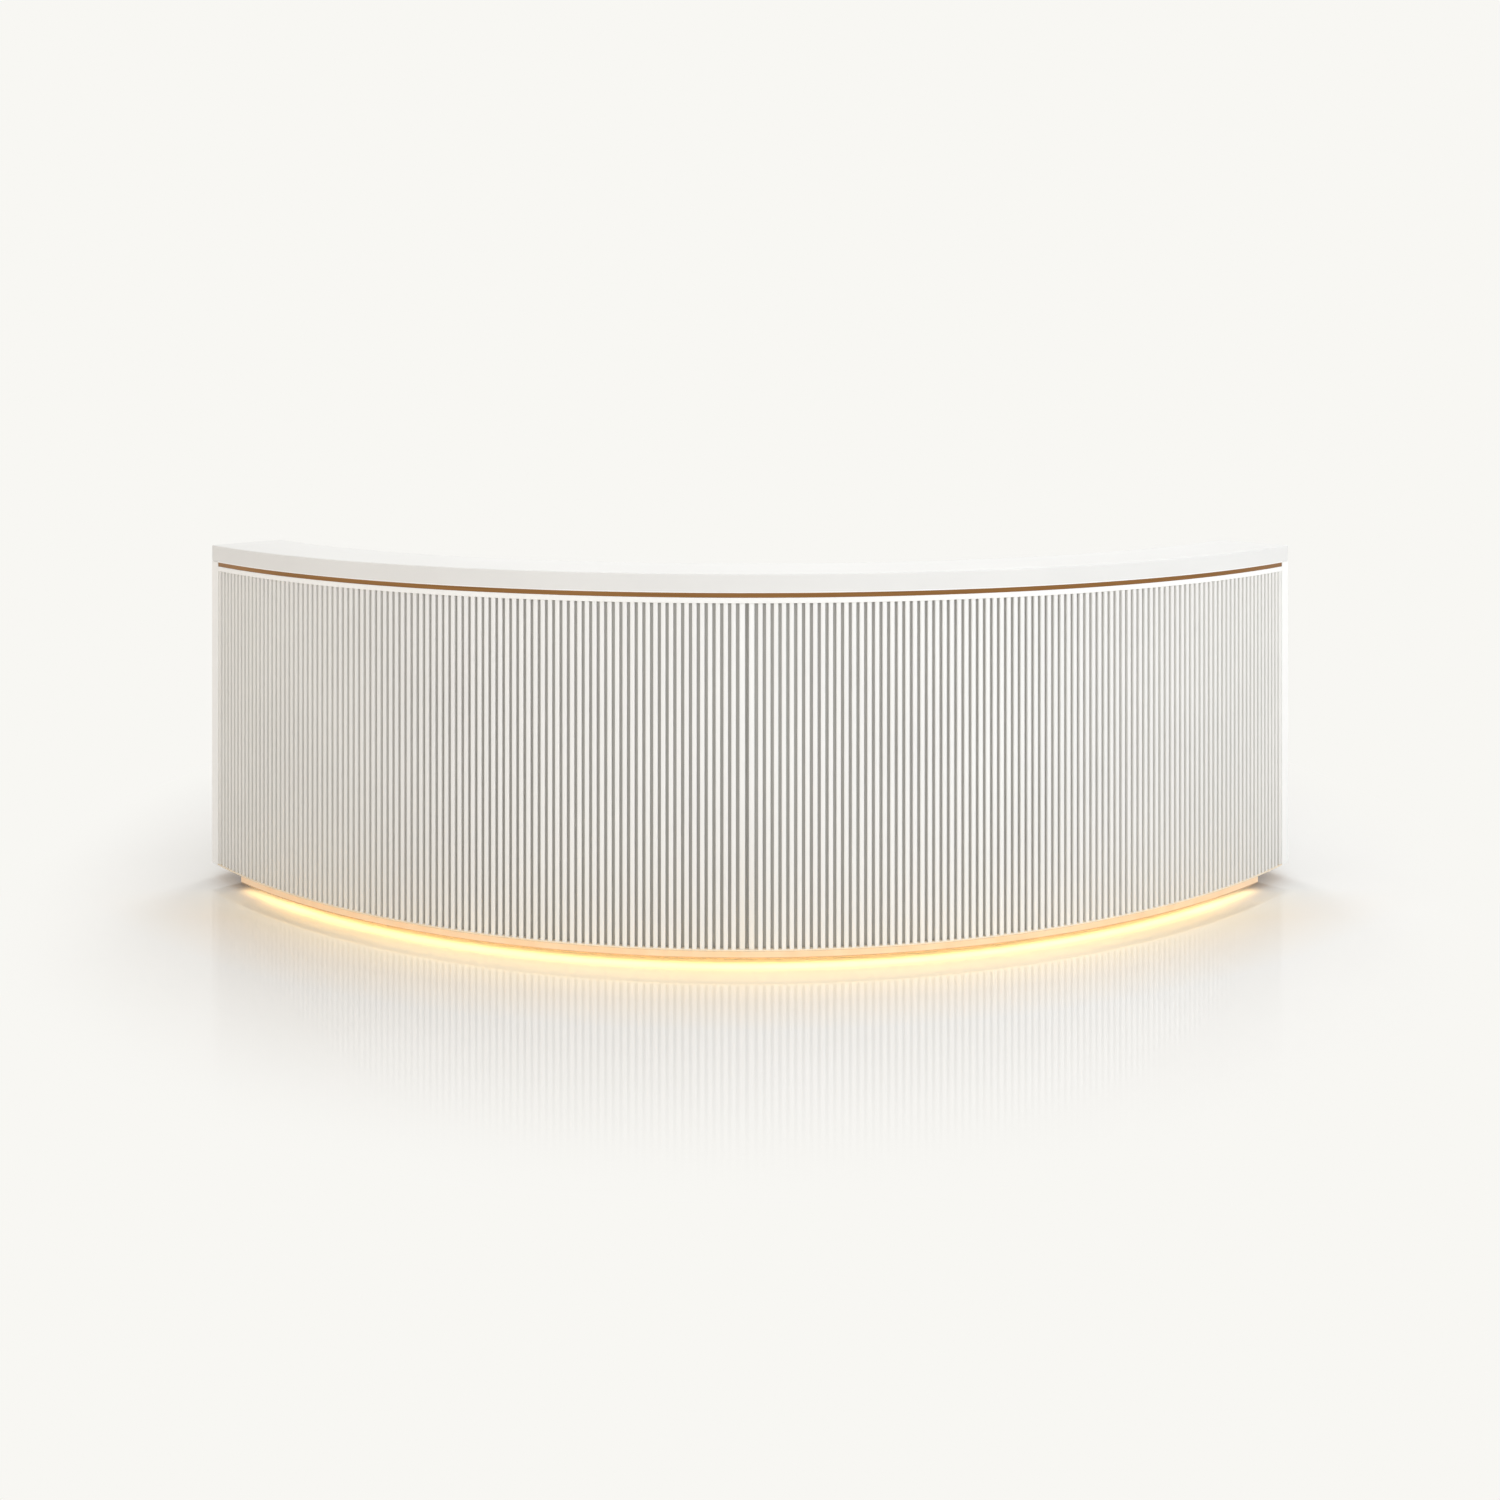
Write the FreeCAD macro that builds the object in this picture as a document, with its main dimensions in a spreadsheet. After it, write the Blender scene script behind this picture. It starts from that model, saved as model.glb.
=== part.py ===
import FreeCAD, Part
import os
import re

import Sketcher
from FreeCAD import Rotation, Vector

document = FreeCAD.newDocument("CurvedBarCounter")

# Driving dimensions: millimetres, degrees and counts, and shares in percent of the room's height
DIMENSIONS = {
    # overall arc, measured on the public front
    "front_radius": 2300,
    "half_angle": 45,
    "counter_depth": 650,
    "counter_height": 1000,
    "board": 18,
    "glue_gap": 0.3,
    "small_part_sides": 8,
    "seam_gap": 0.6,
    # raised ledge and its end panels
    "ledge_depth": 220,
    "ledge_thickness": 48,
    "ledge_chamfer": 2,
    "end_panel": 40,
    "step_round": 80,
    # front cladding, from the ledge down
    "cladding": 18,
    "inlay_height": 13,
    "inlay_setback": 1.5,
    "top_rail": 14,
    "bottom_rail": 4,
    "flute_count": 87,
    "flute_pitch": 20,
    "flute_crest": 10,
    "flute_floor": 8.6,
    "flute_depth": 11,
    "flute_setback": 2,
    "seam_land": 24,
    # curved wall behind the cladding
    "inner_skin": 8,
    "wall_thickness": 108,
    "stud_count": 5,
    "stud_first_angle": 3,
    "stud_last_angle": 42,
    # staff worktop and shelves
    "worktop_drop": 240,
    "worktop_thickness": 25,
    "worktop_overhang": 40,
    "worktop_chamfer": 2,
    "batten": 20,
    "batten_length": 300,
    "shelf_share": 49,
    "shelf_setback": 40,
    "grommet_bore": 25,
    "grommet_sleeve": 30,
    "grommet_flange": 37,
    "grommet_flange_thickness": 3,
    "grommet_angle": 13,
    "grommet_setback": 50,
    # plinth and the light rail under the body
    "plinth_height": 42,
    "plinth_recess": 75,
    "plinth_back_recess": 50,
    "plinth_end_inset": 45,
    "joist_angle": 15,
    "glide_height": 4,
    "glide_radius": 8,
    "glide_count": 6,
    "glide_last_angle": 41,
    "light_setback": 2,
    "light_width": 24,
    "light_height": 20,
    "light_wall": 2,
    "light_end_inset": 180,
    "diffuser": 1.5,
    "driver_length": 160,
    "driver_width": 60,
    "driver_height": 30,
    "driver_ear": 14,
    "driver_ear_thickness": 3,
    "driver_setback": 60,
    "driver_angle": 7,
    "lead_radius": 2.5,
    "lead_drop": 5,
    "gland_bore": 4,
    "gland_sleeve": 8,
    "gland_flange": 12,
    "gland_flange_thickness": 4,
    # drawer bank on the left, cupboard on the right
    "bank_width": 490,
    "bank_end_gap": 16,
    "front_board": 18,
    "front_inset": 2,
    "front_gap": 3,
    "closing_gap": 1,
    "top_drawer_share": 24,
    "middle_drawer_share": 30,
    "box_wall": 12,
    "box_floor": 6,
    "box_depth": 420,
    "box_lift": 25,
    "box_headroom": 35,
    "runner_width": 13,
    "runner_height": 45,
    "runner_length": 400,
    "runner_metal": 1.2,
    "running_gap": 0.4,
    "handle_length": 160,
    "handle_bar": 10,
    "handle_reach": 28,
    "handle_margin": 40,
    "pivot_radius": 3,
    "pivot_length": 12,
    "pivot_clearance": 0.05,
    "pivot_plate": 2,
    "pivot_plate_length": 40,
}

sheet = document.addObject("Spreadsheet::Sheet", "Sizes")
for row, (alias, size) in enumerate(DIMENSIONS.items(), start=1):
    sheet.set(f"A{row}", alias)
    sheet.set(f"B{row}", str(size))
    sheet.setAlias(f"B{row}", alias)
document.recompute()

# Levels above the floor
LEDGE_LOW = "(counter_height - ledge_thickness)"
INLAY_LOW = f"({LEDGE_LOW} - inlay_height)"
TOP_RAIL_LOW = f"({INLAY_LOW} - top_rail)"
BOTTOM_RAIL_TOP = "(plinth_height + bottom_rail)"
DECK_TOP = "(plinth_height + board)"
WORKTOP_TOP = "(counter_height - worktop_drop)"
WORKTOP_LOW = f"({WORKTOP_TOP} - worktop_thickness)"
SHELF_LOW = f"({DECK_TOP} + ({WORKTOP_LOW} - {DECK_TOP}) * shelf_share / 100)"

# Radii from the public front inwards to the staff edge
FLUTE_CREST = "(front_radius - flute_setback)"
CLADDING_BACK = "(front_radius - cladding)"
CORE_OUTER = f"({CLADDING_BACK} - glue_gap)"
WALL_BACK = "(front_radius - wall_thickness)"
INNER_SKIN_OUTER = f"({WALL_BACK} + inner_skin)"
CORE_INNER = f"({INNER_SKIN_OUTER} + glue_gap)"
ROOM_OUTER = f"({WALL_BACK} - glue_gap)"
STAFF_EDGE = "(front_radius - counter_depth)"
DECK_INNER = f"({STAFF_EDGE} + worktop_overhang)"
PLINTH_FRONT = "(front_radius - plinth_recess)"
PLINTH_FRONT_INNER = f"({PLINTH_FRONT} - board)"
PLINTH_BACK = f"({DECK_INNER} + plinth_back_recess)"
PLINTH_BACK_OUTER = f"({PLINTH_BACK} + board)"
LIGHT_OUTER = "(front_radius - light_setback)"
LIGHT_INNER = f"({LIGHT_OUTER} - light_width)"

# Distances from the arc's centre in the turned frame of the drawer bank and the cupboard
FRONT_FACE = f"({DECK_INNER} + front_inset)"
FRONT_BACK = f"({FRONT_FACE} + front_board)"
SIDE_FRONT = f"({FRONT_BACK} + closing_gap)"
SIDE_BACK = f"(sqrt({ROOM_OUTER}^2 - (bank_width / 2)^2) - glue_gap)"
SIDE_INNER = "(bank_width / 2 - board)"
BOX_HALF = f"({SIDE_INNER} - runner_width)"

# The bank and the cupboard are turned so far that their outer front corners just clear the end panels
CORNER_TURN = f"atan(bank_width / 2 / {SIDE_FRONT})"
END_TURN = f"asin((end_panel + bank_end_gap) / sqrt({SIDE_FRONT}^2 + (bank_width / 2)^2))"
BANK_ANGLE = f"(half_angle - ({CORNER_TURN} + {END_TURN}) / 1 deg)"

# The open bay on the right lies between the middle upright and the cupboard's side
OPEN_BAY = ("0", "seam_gap / 2 + board + glue_gap"), (BANK_ANGLE, "bank_width / 2 + glue_gap")

# The arc's centre lies behind the counter, so that the footprint is centred on the origin
CENTRE_Y = f"((front_radius + {STAFF_EDGE} * cos(half_angle * 1 deg)) / 2)"
SEAM_ANGLE = "(seam_gap / 2 / front_radius * 1 rad)"


def bound(formula):
    """Rewrite a formula of dimension names so that it reads the sheet."""
    return re.sub(r"[a-z]\w*", lambda word: ("Sizes." if word[0] in DIMENSIONS else "") + word[0], formula)


def bind(piece, name, formula):
    piece.setExpression(name, bound(formula))


def value(formula):
    """The present value of a formula, in millimetres or degrees."""
    result = sheet.evalExpression(bound(formula))
    return float(getattr(result, "Value", result))


def place(piece, x="0", y="0", z="0", turn="0", axis="0; 0; 1"):
    """Bind a piece's place and its turn, in degrees, about one axis."""
    rotation = f"rotation(vector({axis}); ({turn}) * 1 deg)"
    bind(piece, "Placement", f"placement(vector({x}; {y}; {z}); {rotation})")


def turned(piece, turn="0", z="0"):
    """Stand a piece that is drawn about the arc's centre in its place on the arc."""
    place(piece, y=CENTRE_Y, z=z, turn=turn)
    return piece


def end_angle(radius, inset="end_panel + glue_gap"):
    """The angle at which an arc meets a plane set in from the counter's end."""
    return f"(half_angle * 1 deg - asin(({inset}) / {radius}))"


def rectangle(inner, outer, low, high):
    return [(inner, low), (outer, low), (outer, high), (inner, high)]


def sketch_on(body, role):
    sketch = body.newObject("Sketcher::SketchObject", f"{body.Name}_sketch")
    plane = next(feature for feature in body.Origin.OriginFeatures if feature.Role == role)
    sketch.AttachmentSupport = [(plane, "")]
    sketch.MapMode = "FlatFace"
    return sketch


def dimension(sketch, formula, kind, *where):
    index = sketch.addConstraint(Sketcher.Constraint(kind, *where, value(formula)))
    bind(sketch, f"Constraints[{index}]", formula)


def outline(sketch, corners):
    """Draw a closed outline of straight lines through bound corners."""
    points = [Vector(value(across), value(up), 0) for across, up in corners]
    for index, point in enumerate(points):
        sketch.addGeometry(Part.LineSegment(point, points[(index + 1) % len(points)]))
    for index, (across, up) in enumerate(corners):
        following = (index + 1) % len(points)
        sketch.addConstraint(Sketcher.Constraint("Coincident", index, 2, following, 1))
        dimension(sketch, across, "DistanceX", -1, 1, index, 1)
        dimension(sketch, up, "DistanceY", -1, 1, index, 1)


def swept(label, corners, sweep, start=None):
    """Sweep a profile of radii and heights round the arc, centred or from a start angle."""
    body = document.addObject("PartDesign::Body", label)
    profile = sketch_on(body, "XZ_Plane")
    outline(profile, corners)
    revolution = body.newObject("PartDesign::Revolution", f"{label}_sweep")
    revolution.Profile = profile
    revolution.ReferenceAxis = (profile, ["V_Axis"])
    revolution.Midplane = start is None
    bind(revolution, "Angle", sweep)
    place(body, y=CENTRE_Y, turn=f"{start or '0 deg'} / 1 deg - 90")
    return body


def half_wall(label, inner, outer, low, high):
    """A curved wall from the middle seam to the right end panel."""
    sweep = f"{end_angle(inner)} - {SEAM_ANGLE}"
    return swept(label, rectangle(inner, outer, low, high), sweep, SEAM_ANGLE)


def sector(label, inner, outer, low, thickness, start, end):
    """A flat board between two arcs and two planes, each a turn and an offset from its radius."""
    body = document.addObject("PartDesign::Body", label)
    sketch = sketch_on(body, "XY_Plane")
    sides = []
    for (turn, offset), sign in ((start, 1), (end, -1)):
        along = Rotation(Vector(0, 0, 1), value(turn)).multVec(Vector(0, -1, 0))
        aside = Rotation(Vector(0, 0, 1), value(turn)).multVec(Vector(sign * value(offset), 0, 0))
        reach = [(value(radius) ** 2 - value(offset) ** 2) ** 0.5 for radius in (inner, outer)]
        sides.append([aside + along * distance for distance in reach])
    for index, radius in ((1, outer), (0, inner)):
        circle = Part.Circle(Vector(), Vector(0, 0, 1), value(radius))
        angles = [circle.parameter(side[index]) for side in sides]
        arc = sketch.addGeometry(Part.ArcOfCircle(circle, *angles))
        sketch.addConstraint(Sketcher.Constraint("Coincident", arc, 3, -1, 1))
        dimension(sketch, radius, "Radius", arc)
    for position, (turn, offset) in enumerate((start, end), start=1):
        line = sketch.addGeometry(Part.LineSegment(*sides[position - 1]))
        sketch.addConstraint(Sketcher.Constraint("Coincident", line, 1, 1, position))
        sketch.addConstraint(Sketcher.Constraint("Coincident", line, 2, 0, position))
        slope = f"({turn} - 90) * 1 deg"
        index = sketch.addConstraint(Sketcher.Constraint("Angle", line, value(f"{slope} / 1 rad")))
        bind(sketch, f"Constraints[{index}]", slope)
        dimension(sketch, offset, "Distance", -1, 1, line)
    pad = body.newObject("PartDesign::Pad", f"{label}_pad")
    pad.Profile = sketch
    bind(pad, "Length", thickness)
    return turned(body, z=low)


def board(label, left, width, inner, depth, low, height, turn="0"):
    """A square-edged board in the frame of one radius: across it, out along it, and up."""
    box = document.addObject("Part::Box", label)
    bind(box, "Length", width)
    bind(box, "Width", depth)
    bind(box, "Height", height)
    outer = f"({inner} + {depth})"
    angle = f"({turn}) * 1 deg"
    x = f"({left}) * cos({angle}) + {outer} * sin({angle})"
    y = f"{CENTRE_Y} + ({left}) * sin({angle}) - {outer} * cos({angle})"
    place(box, x, y, low, turn)
    return box


def rod(label, radius, length, across, out, up, axis="up", sides=None):
    """A round or many-sided rod in the frame of one radius, along one of its three axes."""
    piece = document.addObject("Part::Prism" if sides else "Part::Cylinder", label)
    bind(piece, "Circumradius" if sides else "Radius", radius)
    bind(piece, "Height", length)
    if sides:
        bind(piece, "Polygon", sides)
    turn, about = {"up": ("0", "0; 0; 1"), "across": ("90", "0; 1; 0"), "out": ("90", "1; 0; 0")}[axis]
    place(piece, across, f"-({out})", up, turn, about)
    return piece


def fused(label, pieces):
    fusion = document.addObject("Part::MultiFuse", label)
    fusion.Shapes = pieces
    return fusion


def cut(label, base, tool):
    result = document.addObject("Part::Cut", label)
    result.Base = base
    result.Tool = tool
    return result


def group(label, pieces):
    compound = document.addObject("Part::Compound", label)
    compound.Links = pieces
    return compound


def mirrored(label, source):
    mirror = document.addObject("Part::Mirroring", label)
    mirror.Source = source
    mirror.Normal = Vector(1, 0, 0)
    return mirror


def dress(body, kind, size, wanted):
    """Ease the edges of a body's last feature whose middle point is wanted."""
    document.recompute()
    base = body.Tip
    names = [f"Edge{index}" for index, edge in enumerate(base.Shape.Edges, start=1)
             if wanted(edge.valueAt((edge.FirstParameter + edge.LastParameter) / 2))]
    feature = body.newObject(f"PartDesign::{kind}", f"{body.Name}_ease")
    feature.Base = (base, names)
    bind(feature, {"Fillet": "Radius", "Chamfer": "Size"}[kind], size)


def near(first, second):
    return abs(first - second) < value("glue_gap")


nodes = []


def ledge():
    """Thick lacquered slab over the wall and the end panels, in two halves with eased upper edges."""
    profile = rectangle("(front_radius - ledge_depth)", "front_radius", LEDGE_LOW, "counter_height")
    slab = swept("ledge_right", profile, f"half_angle * 1 deg - {SEAM_ANGLE}", SEAM_ANGLE)
    rims = (value("front_radius"), value("front_radius - ledge_depth"))
    dress(slab, "Chamfer", "ledge_chamfer",
          lambda point: near(point.z, value("counter_height"))
          and any(near(Vector(point.x, point.y, 0).Length, rim) for rim in rims))
    nodes.extend([slab, mirrored("ledge_left", slab)])


def end_panels():
    """Stepped ends: full height under the ledge, worktop height on the staff side."""
    panel = document.addObject("PartDesign::Body", "end_panel_right")
    sketch = sketch_on(panel, "XZ_Plane")
    step = "(front_radius - ledge_depth)"
    outline(sketch, [(STAFF_EDGE, "plinth_height"), ("front_radius", "plinth_height"),
                     ("front_radius", LEDGE_LOW), (step, LEDGE_LOW),
                     (step, WORKTOP_TOP), (STAFF_EDGE, WORKTOP_TOP)])
    pad = panel.newObject("PartDesign::Pad", "end_panel_pad")
    pad.Profile = sketch
    bind(pad, "Length", "end_panel")
    dress(panel, "Fillet", "step_round",
          lambda point: near(point.x, value(step)) and near(point.z, value(WORKTOP_TOP)))
    turned(panel, "half_angle - 90")
    nodes.extend([panel, mirrored("end_panel_left", panel)])


def cladding():
    """Bronze inlay and white rails, which run from one end panel to the other."""
    sweep = f"2 * {end_angle(CLADDING_BACK)}"
    strips = {
        "bronze_inlay": ("(front_radius - inlay_setback)", INLAY_LOW, LEDGE_LOW),
        "top_rail": ("front_radius", TOP_RAIL_LOW, INLAY_LOW),
        "bottom_rail": ("front_radius", "plinth_height", BOTTOM_RAIL_TOP),
    }
    for label, (outer, low, high) in strips.items():
        nodes.append(swept(label, rectangle(CLADDING_BACK, outer, low, high), sweep))


def flute_groove(panel, label, turn):
    """Cut one upright groove with splayed sides into a curved panel, at a turn from its seam edge."""
    groove = sketch_on(panel, "XY_Plane")
    mouth = "(flute_pitch - flute_crest) / 2"
    profile = [(f"{FLUTE_CREST} + flute_depth", mouth), (FLUTE_CREST, mouth),
               (f"{FLUTE_CREST} - flute_depth", "flute_floor / 2")]
    outline(groove, profile + [(out, f"-({aside})") for out, aside in reversed(profile)])
    bind(groove, "AttachmentOffset",
         f"placement(vector(0; 0; 0); rotation(vector(0; 0; 1); {turn}))")
    pocket = panel.newObject("PartDesign::Pocket", label)
    pocket.Profile = groove
    pocket.Type = "ThroughAll"
    pocket.Midplane = True
    return pocket


def fluted_panels():
    """Curved panels whose upright ribs are left standing by one groove, repeated round the arc."""
    panel = half_wall("fluted_panel_right", CLADDING_BACK, FLUTE_CREST, BOTTOM_RAIL_TOP, TOP_RAIL_LOW)
    flute_groove(panel, "seam_groove", "0 deg")
    first = flute_groove(panel, "flute_groove", f"(seam_land / {FLUTE_CREST} * 1 rad)")
    pattern = panel.newObject("PartDesign::PolarPattern", "flute_pattern")
    pattern.Originals = [first]
    upright = next(feature for feature in panel.Origin.OriginFeatures if feature.Role == "Z_Axis")
    pattern.Axis = (upright, [""])
    bind(pattern, "Occurrences", "flute_count")
    bind(pattern, "Angle", f"(flute_count - 1) * flute_pitch / {FLUTE_CREST} * 1 rad")
    panel.Tip = pattern
    nodes.extend([panel, mirrored("fluted_panel_left", panel)])


def wall():
    """Bent inner skins, cut formers and upright studs behind the cladding, in two halves."""
    inner = half_wall("inner_skin_right", WALL_BACK, INNER_SKIN_OUTER, DECK_TOP, LEDGE_LOW)
    nodes.extend([inner, mirrored("inner_skin_left", inner)])
    ends = ("0", "seam_gap / 2"), ("half_angle", "end_panel + glue_gap")
    former = sector("former_right", CORE_INNER, CORE_OUTER, f"{LEDGE_LOW} - board", "board", *ends)
    nodes.append(group("wall_formers", [former, mirrored("former_left", former)]))
    depth = f"(sqrt({CORE_OUTER}^2 - (board / 2)^2) - {CORE_INNER})"
    studs = []
    for index in range(DIMENSIONS["stud_count"]):
        step = f"(stud_last_angle - stud_first_angle) / (stud_count - 1) * {index}"
        stud = board("stud", "-board / 2", "board", CORE_INNER, depth, DECK_TOP,
                     f"{LEDGE_LOW} - board - {DECK_TOP}", f"stud_first_angle + {step}")
        studs += [stud, mirrored("stud_left", stud)]
    nodes.append(group("wall_studs", studs))


def decks():
    """Floor boards of the two halves, on the plinth."""
    deck = sector("deck_right", DECK_INNER, CORE_OUTER, "plinth_height", "board",
                  ("0", "seam_gap / 2"), ("half_angle", "end_panel + glue_gap"))
    nodes.extend([deck, mirrored("deck_left", deck)])


def centre_partitions():
    """Two uprights that meet in the middle, where the halves of the counter are joined."""
    partition = board("centre_partition_right", "seam_gap / 2", "board", DECK_INNER,
                      f"({ROOM_OUTER} - {DECK_INNER} - glue_gap)", DECK_TOP, f"{WORKTOP_LOW} - {DECK_TOP}")
    nodes.extend([partition, mirrored("centre_partition_left", partition)])


def battens(low):
    """Straight battens on the uprights at the two ends of each open bay."""
    out = f"({SIDE_FRONT} + shelf_setback + board)"
    places = [("seam_gap / 2 + board", "0"), ("-bank_width / 2 - batten", BANK_ANGLE)]
    pair = [board("batten", left, "batten", out, "batten_length", low, "batten", turn)
            for left, turn in places]
    return pair + [mirrored("batten_left", piece) for piece in pair]


def worktops():
    """Lower staff worktops with an eased staff edge and one cable grommet each."""
    top = sector("worktop_right", STAFF_EDGE, ROOM_OUTER, WORKTOP_LOW, "worktop_thickness",
                 ("0", "seam_gap / 2"), ("half_angle", "end_panel + glue_gap"))
    out = "(front_radius - ledge_depth - grommet_setback)"
    across = f"({out} * sin(grommet_angle * 1 deg))"
    back = f"(-{out} * cos(grommet_angle * 1 deg))"
    hole = sketch_on(top, "XY_Plane")
    middle = Vector(value(across), value(back), 0)
    hole.addGeometry(Part.Circle(middle, Vector(0, 0, 1), value("grommet_sleeve")))
    dimension(hole, "grommet_sleeve + glue_gap", "Radius", 0)
    dimension(hole, across, "DistanceX", -1, 1, 0, 3)
    dimension(hole, back, "DistanceY", -1, 1, 0, 3)
    pocket = top.newObject("PartDesign::Pocket", "grommet_hole")
    pocket.Profile = hole
    pocket.Type = "ThroughAll"
    pocket.Midplane = True
    faces = (0, value("worktop_thickness"))
    dress(top, "Chamfer", "worktop_chamfer",
          lambda point: near(Vector(point.x, point.y, 0).Length, value(STAFF_EDGE))
          and any(near(point.z, face) for face in faces))
    nodes.extend([top, mirrored("worktop_left", top)])
    grommet = document.addObject("PartDesign::Body", "grommet_right")
    sketch = sketch_on(grommet, "XZ_Plane")
    rim = f"({WORKTOP_TOP} + grommet_flange_thickness)"
    outline(sketch, [("grommet_bore", WORKTOP_LOW), ("grommet_sleeve", WORKTOP_LOW),
                     ("grommet_sleeve", WORKTOP_TOP), ("grommet_flange", WORKTOP_TOP),
                     ("grommet_flange", rim), ("grommet_bore", rim)])
    turning = grommet.newObject("PartDesign::Revolution", "grommet_turning")
    turning.Profile = sketch
    turning.ReferenceAxis = (sketch, ["V_Axis"])
    place(grommet, across, f"{CENTRE_Y} + {back}")
    nodes.append(group("cable_grommets", [grommet, mirrored("grommet_left", grommet)]))
    nodes.append(group("worktop_ledgers", battens(f"({WORKTOP_LOW} - batten)")))


def plinth():
    """Recessed base frame with joists and nailed glides."""
    height = "(plinth_height - glide_height)"
    end = "plinth_end_inset"
    lead_way = rod("lead_way", "lead_radius + glue_gap", "plinth_recess + board", "0", PLINTH_FRONT_INNER,
                   "plinth_height - lead_drop", "out", "small_part_sides")
    gland_way = rod("gland_way", "gland_sleeve + glue_gap", "2 * board", "0", f"{PLINTH_BACK} - board / 2",
                    "plinth_height / 2", "out", "small_part_sides")
    lead_hole = turned(group("lead_hole", [lead_way]), "driver_angle")
    gland_hole = turned(group("gland_hole", [gland_way]), "driver_angle")
    rings = {
        "plinth_front_board": (PLINTH_FRONT_INNER, PLINTH_FRONT, lead_hole),
        "plinth_back_board": (PLINTH_BACK, PLINTH_BACK_OUTER, gland_hole),
    }
    for label, (inner, outer, hole) in rings.items():
        ring = swept(f"{label}_blank", rectangle(inner, outer, "glide_height", "plinth_height"),
                     f"2 * {end_angle(inner, end)}")
        nodes.append(cut(label, ring, hole))
    inner = f"({PLINTH_BACK_OUTER} + glue_gap)"
    joists = []
    reach = f"(sqrt(({PLINTH_FRONT_INNER} - glue_gap)^2 - ({end} + board)^2) - {inner})"
    rows = (("0", "seam_gap / 2"), ("joist_angle", "-board / 2"), ("2 * joist_angle", "-board / 2"),
            ("half_angle", f"-{end} - board"))
    for turn, left in rows:
        joist = board("joist", left, "board", inner, reach, "glide_height", height, turn)
        joists += [joist, mirrored("joist_left", joist)]
    nodes.append(group("plinth_joists", joists))
    glides = []
    for index in range(DIMENSIONS["glide_count"]):
        turn = f"glide_last_angle * (2 * {index} / (glide_count - 1) - 1)"
        pair = [rod("glide", "glide_radius", "glide_height", "0", f"{ring} - board / 2", "0",
                    sides="small_part_sides") for ring in (PLINTH_FRONT, PLINTH_BACK_OUTER)]
        glides.append(turned(group("glide_pair", pair), turn))
    nodes.append(group("floor_glides", glides))


def light():
    """Metal light rail under the front edge, open below for its diffuser, with the driver in the plinth."""
    sweep = f"2 * {end_angle(LIGHT_INNER, 'light_end_inset')}"
    low = "(plinth_height - light_height)"
    roof = "(plinth_height - light_wall)"
    walls = f"({LIGHT_INNER} + light_wall)", f"({LIGHT_OUTER} - light_wall)"
    nodes.append(swept("light_channel", [
        (LIGHT_INNER, low), (walls[0], low), (walls[0], roof), (walls[1], roof),
        (walls[1], low), (LIGHT_OUTER, low), (LIGHT_OUTER, "plinth_height"),
        (LIGHT_INNER, "plinth_height")], sweep))
    nodes.append(swept("light_diffuser", rectangle(*walls, low, f"{low} + diffuser"), sweep))
    out = f"({PLINTH_FRONT_INNER} - driver_setback - driver_width)"
    case = board("driver_case", "-driver_length / 2", "driver_length", out, "driver_width",
                 "plinth_height - driver_height", "driver_height", "driver_angle")
    ears = board("driver_ears", "-driver_length / 2 - driver_ear", "driver_length + 2 * driver_ear",
                 f"{out} + driver_ear", "driver_width - 2 * driver_ear",
                 "plinth_height - driver_ear_thickness", "driver_ear_thickness", "driver_angle")
    nodes.append(fused("light_driver", [case, ears]))
    start = f"({out} + driver_width)"
    lead = rod("lead", "lead_radius", f"{LIGHT_INNER} - {start} - glue_gap", "0", start,
               "plinth_height - lead_drop", "out", "small_part_sides")
    nodes.append(turned(group("light_lead", [lead]), "driver_angle"))
    middle = "plinth_height / 2"
    outside = f"({PLINTH_BACK} - gland_flange_thickness)"
    sleeve = rod("gland_body", "gland_sleeve", "board + gland_flange_thickness", "0", PLINTH_BACK, middle,
                 "out", "small_part_sides")
    flange = rod("gland_rim", "gland_flange", "gland_flange_thickness", "0", outside, middle,
                 "out", "small_part_sides")
    way = rod("gland_bore", "gland_bore", "board + 2 * gland_flange_thickness", "0", outside, middle,
              "out", "small_part_sides")
    nodes.append(turned(cut("mains_gland", fused("gland_solid", [sleeve, flange]), way), "driver_angle"))


def unit_sides(label, turn):
    """Two parallel uprights between the deck and the worktop."""
    sides = [board("side", left, "board", SIDE_FRONT, f"({SIDE_BACK} - {SIDE_FRONT})", DECK_TOP,
                   f"{WORKTOP_LOW} - {DECK_TOP}", turn) for left in ("-bank_width / 2", SIDE_INNER)]
    nodes.append(group(label, sides))


def runner(label, side, near_face, reach, height, middle, opens, turn):
    """One bent-steel channel: a box less its hollow, open towards one side."""
    left = near_face if side > 0 else f"-{near_face} - {reach}"
    hollow = f"{left} + runner_metal" if opens * side > 0 else left
    inner_height = f"{height} - 2 * runner_metal"
    solid = board(f"{label}_solid", left, reach, SIDE_FRONT, "runner_length",
                  f"{middle} - ({height}) / 2", height, turn)
    space = board(f"{label}_space", hollow, f"{reach} - runner_metal", SIDE_FRONT, "runner_length",
                  f"{middle} - ({inner_height}) / 2", inner_height, turn)
    return cut(label, solid, space)


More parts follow.
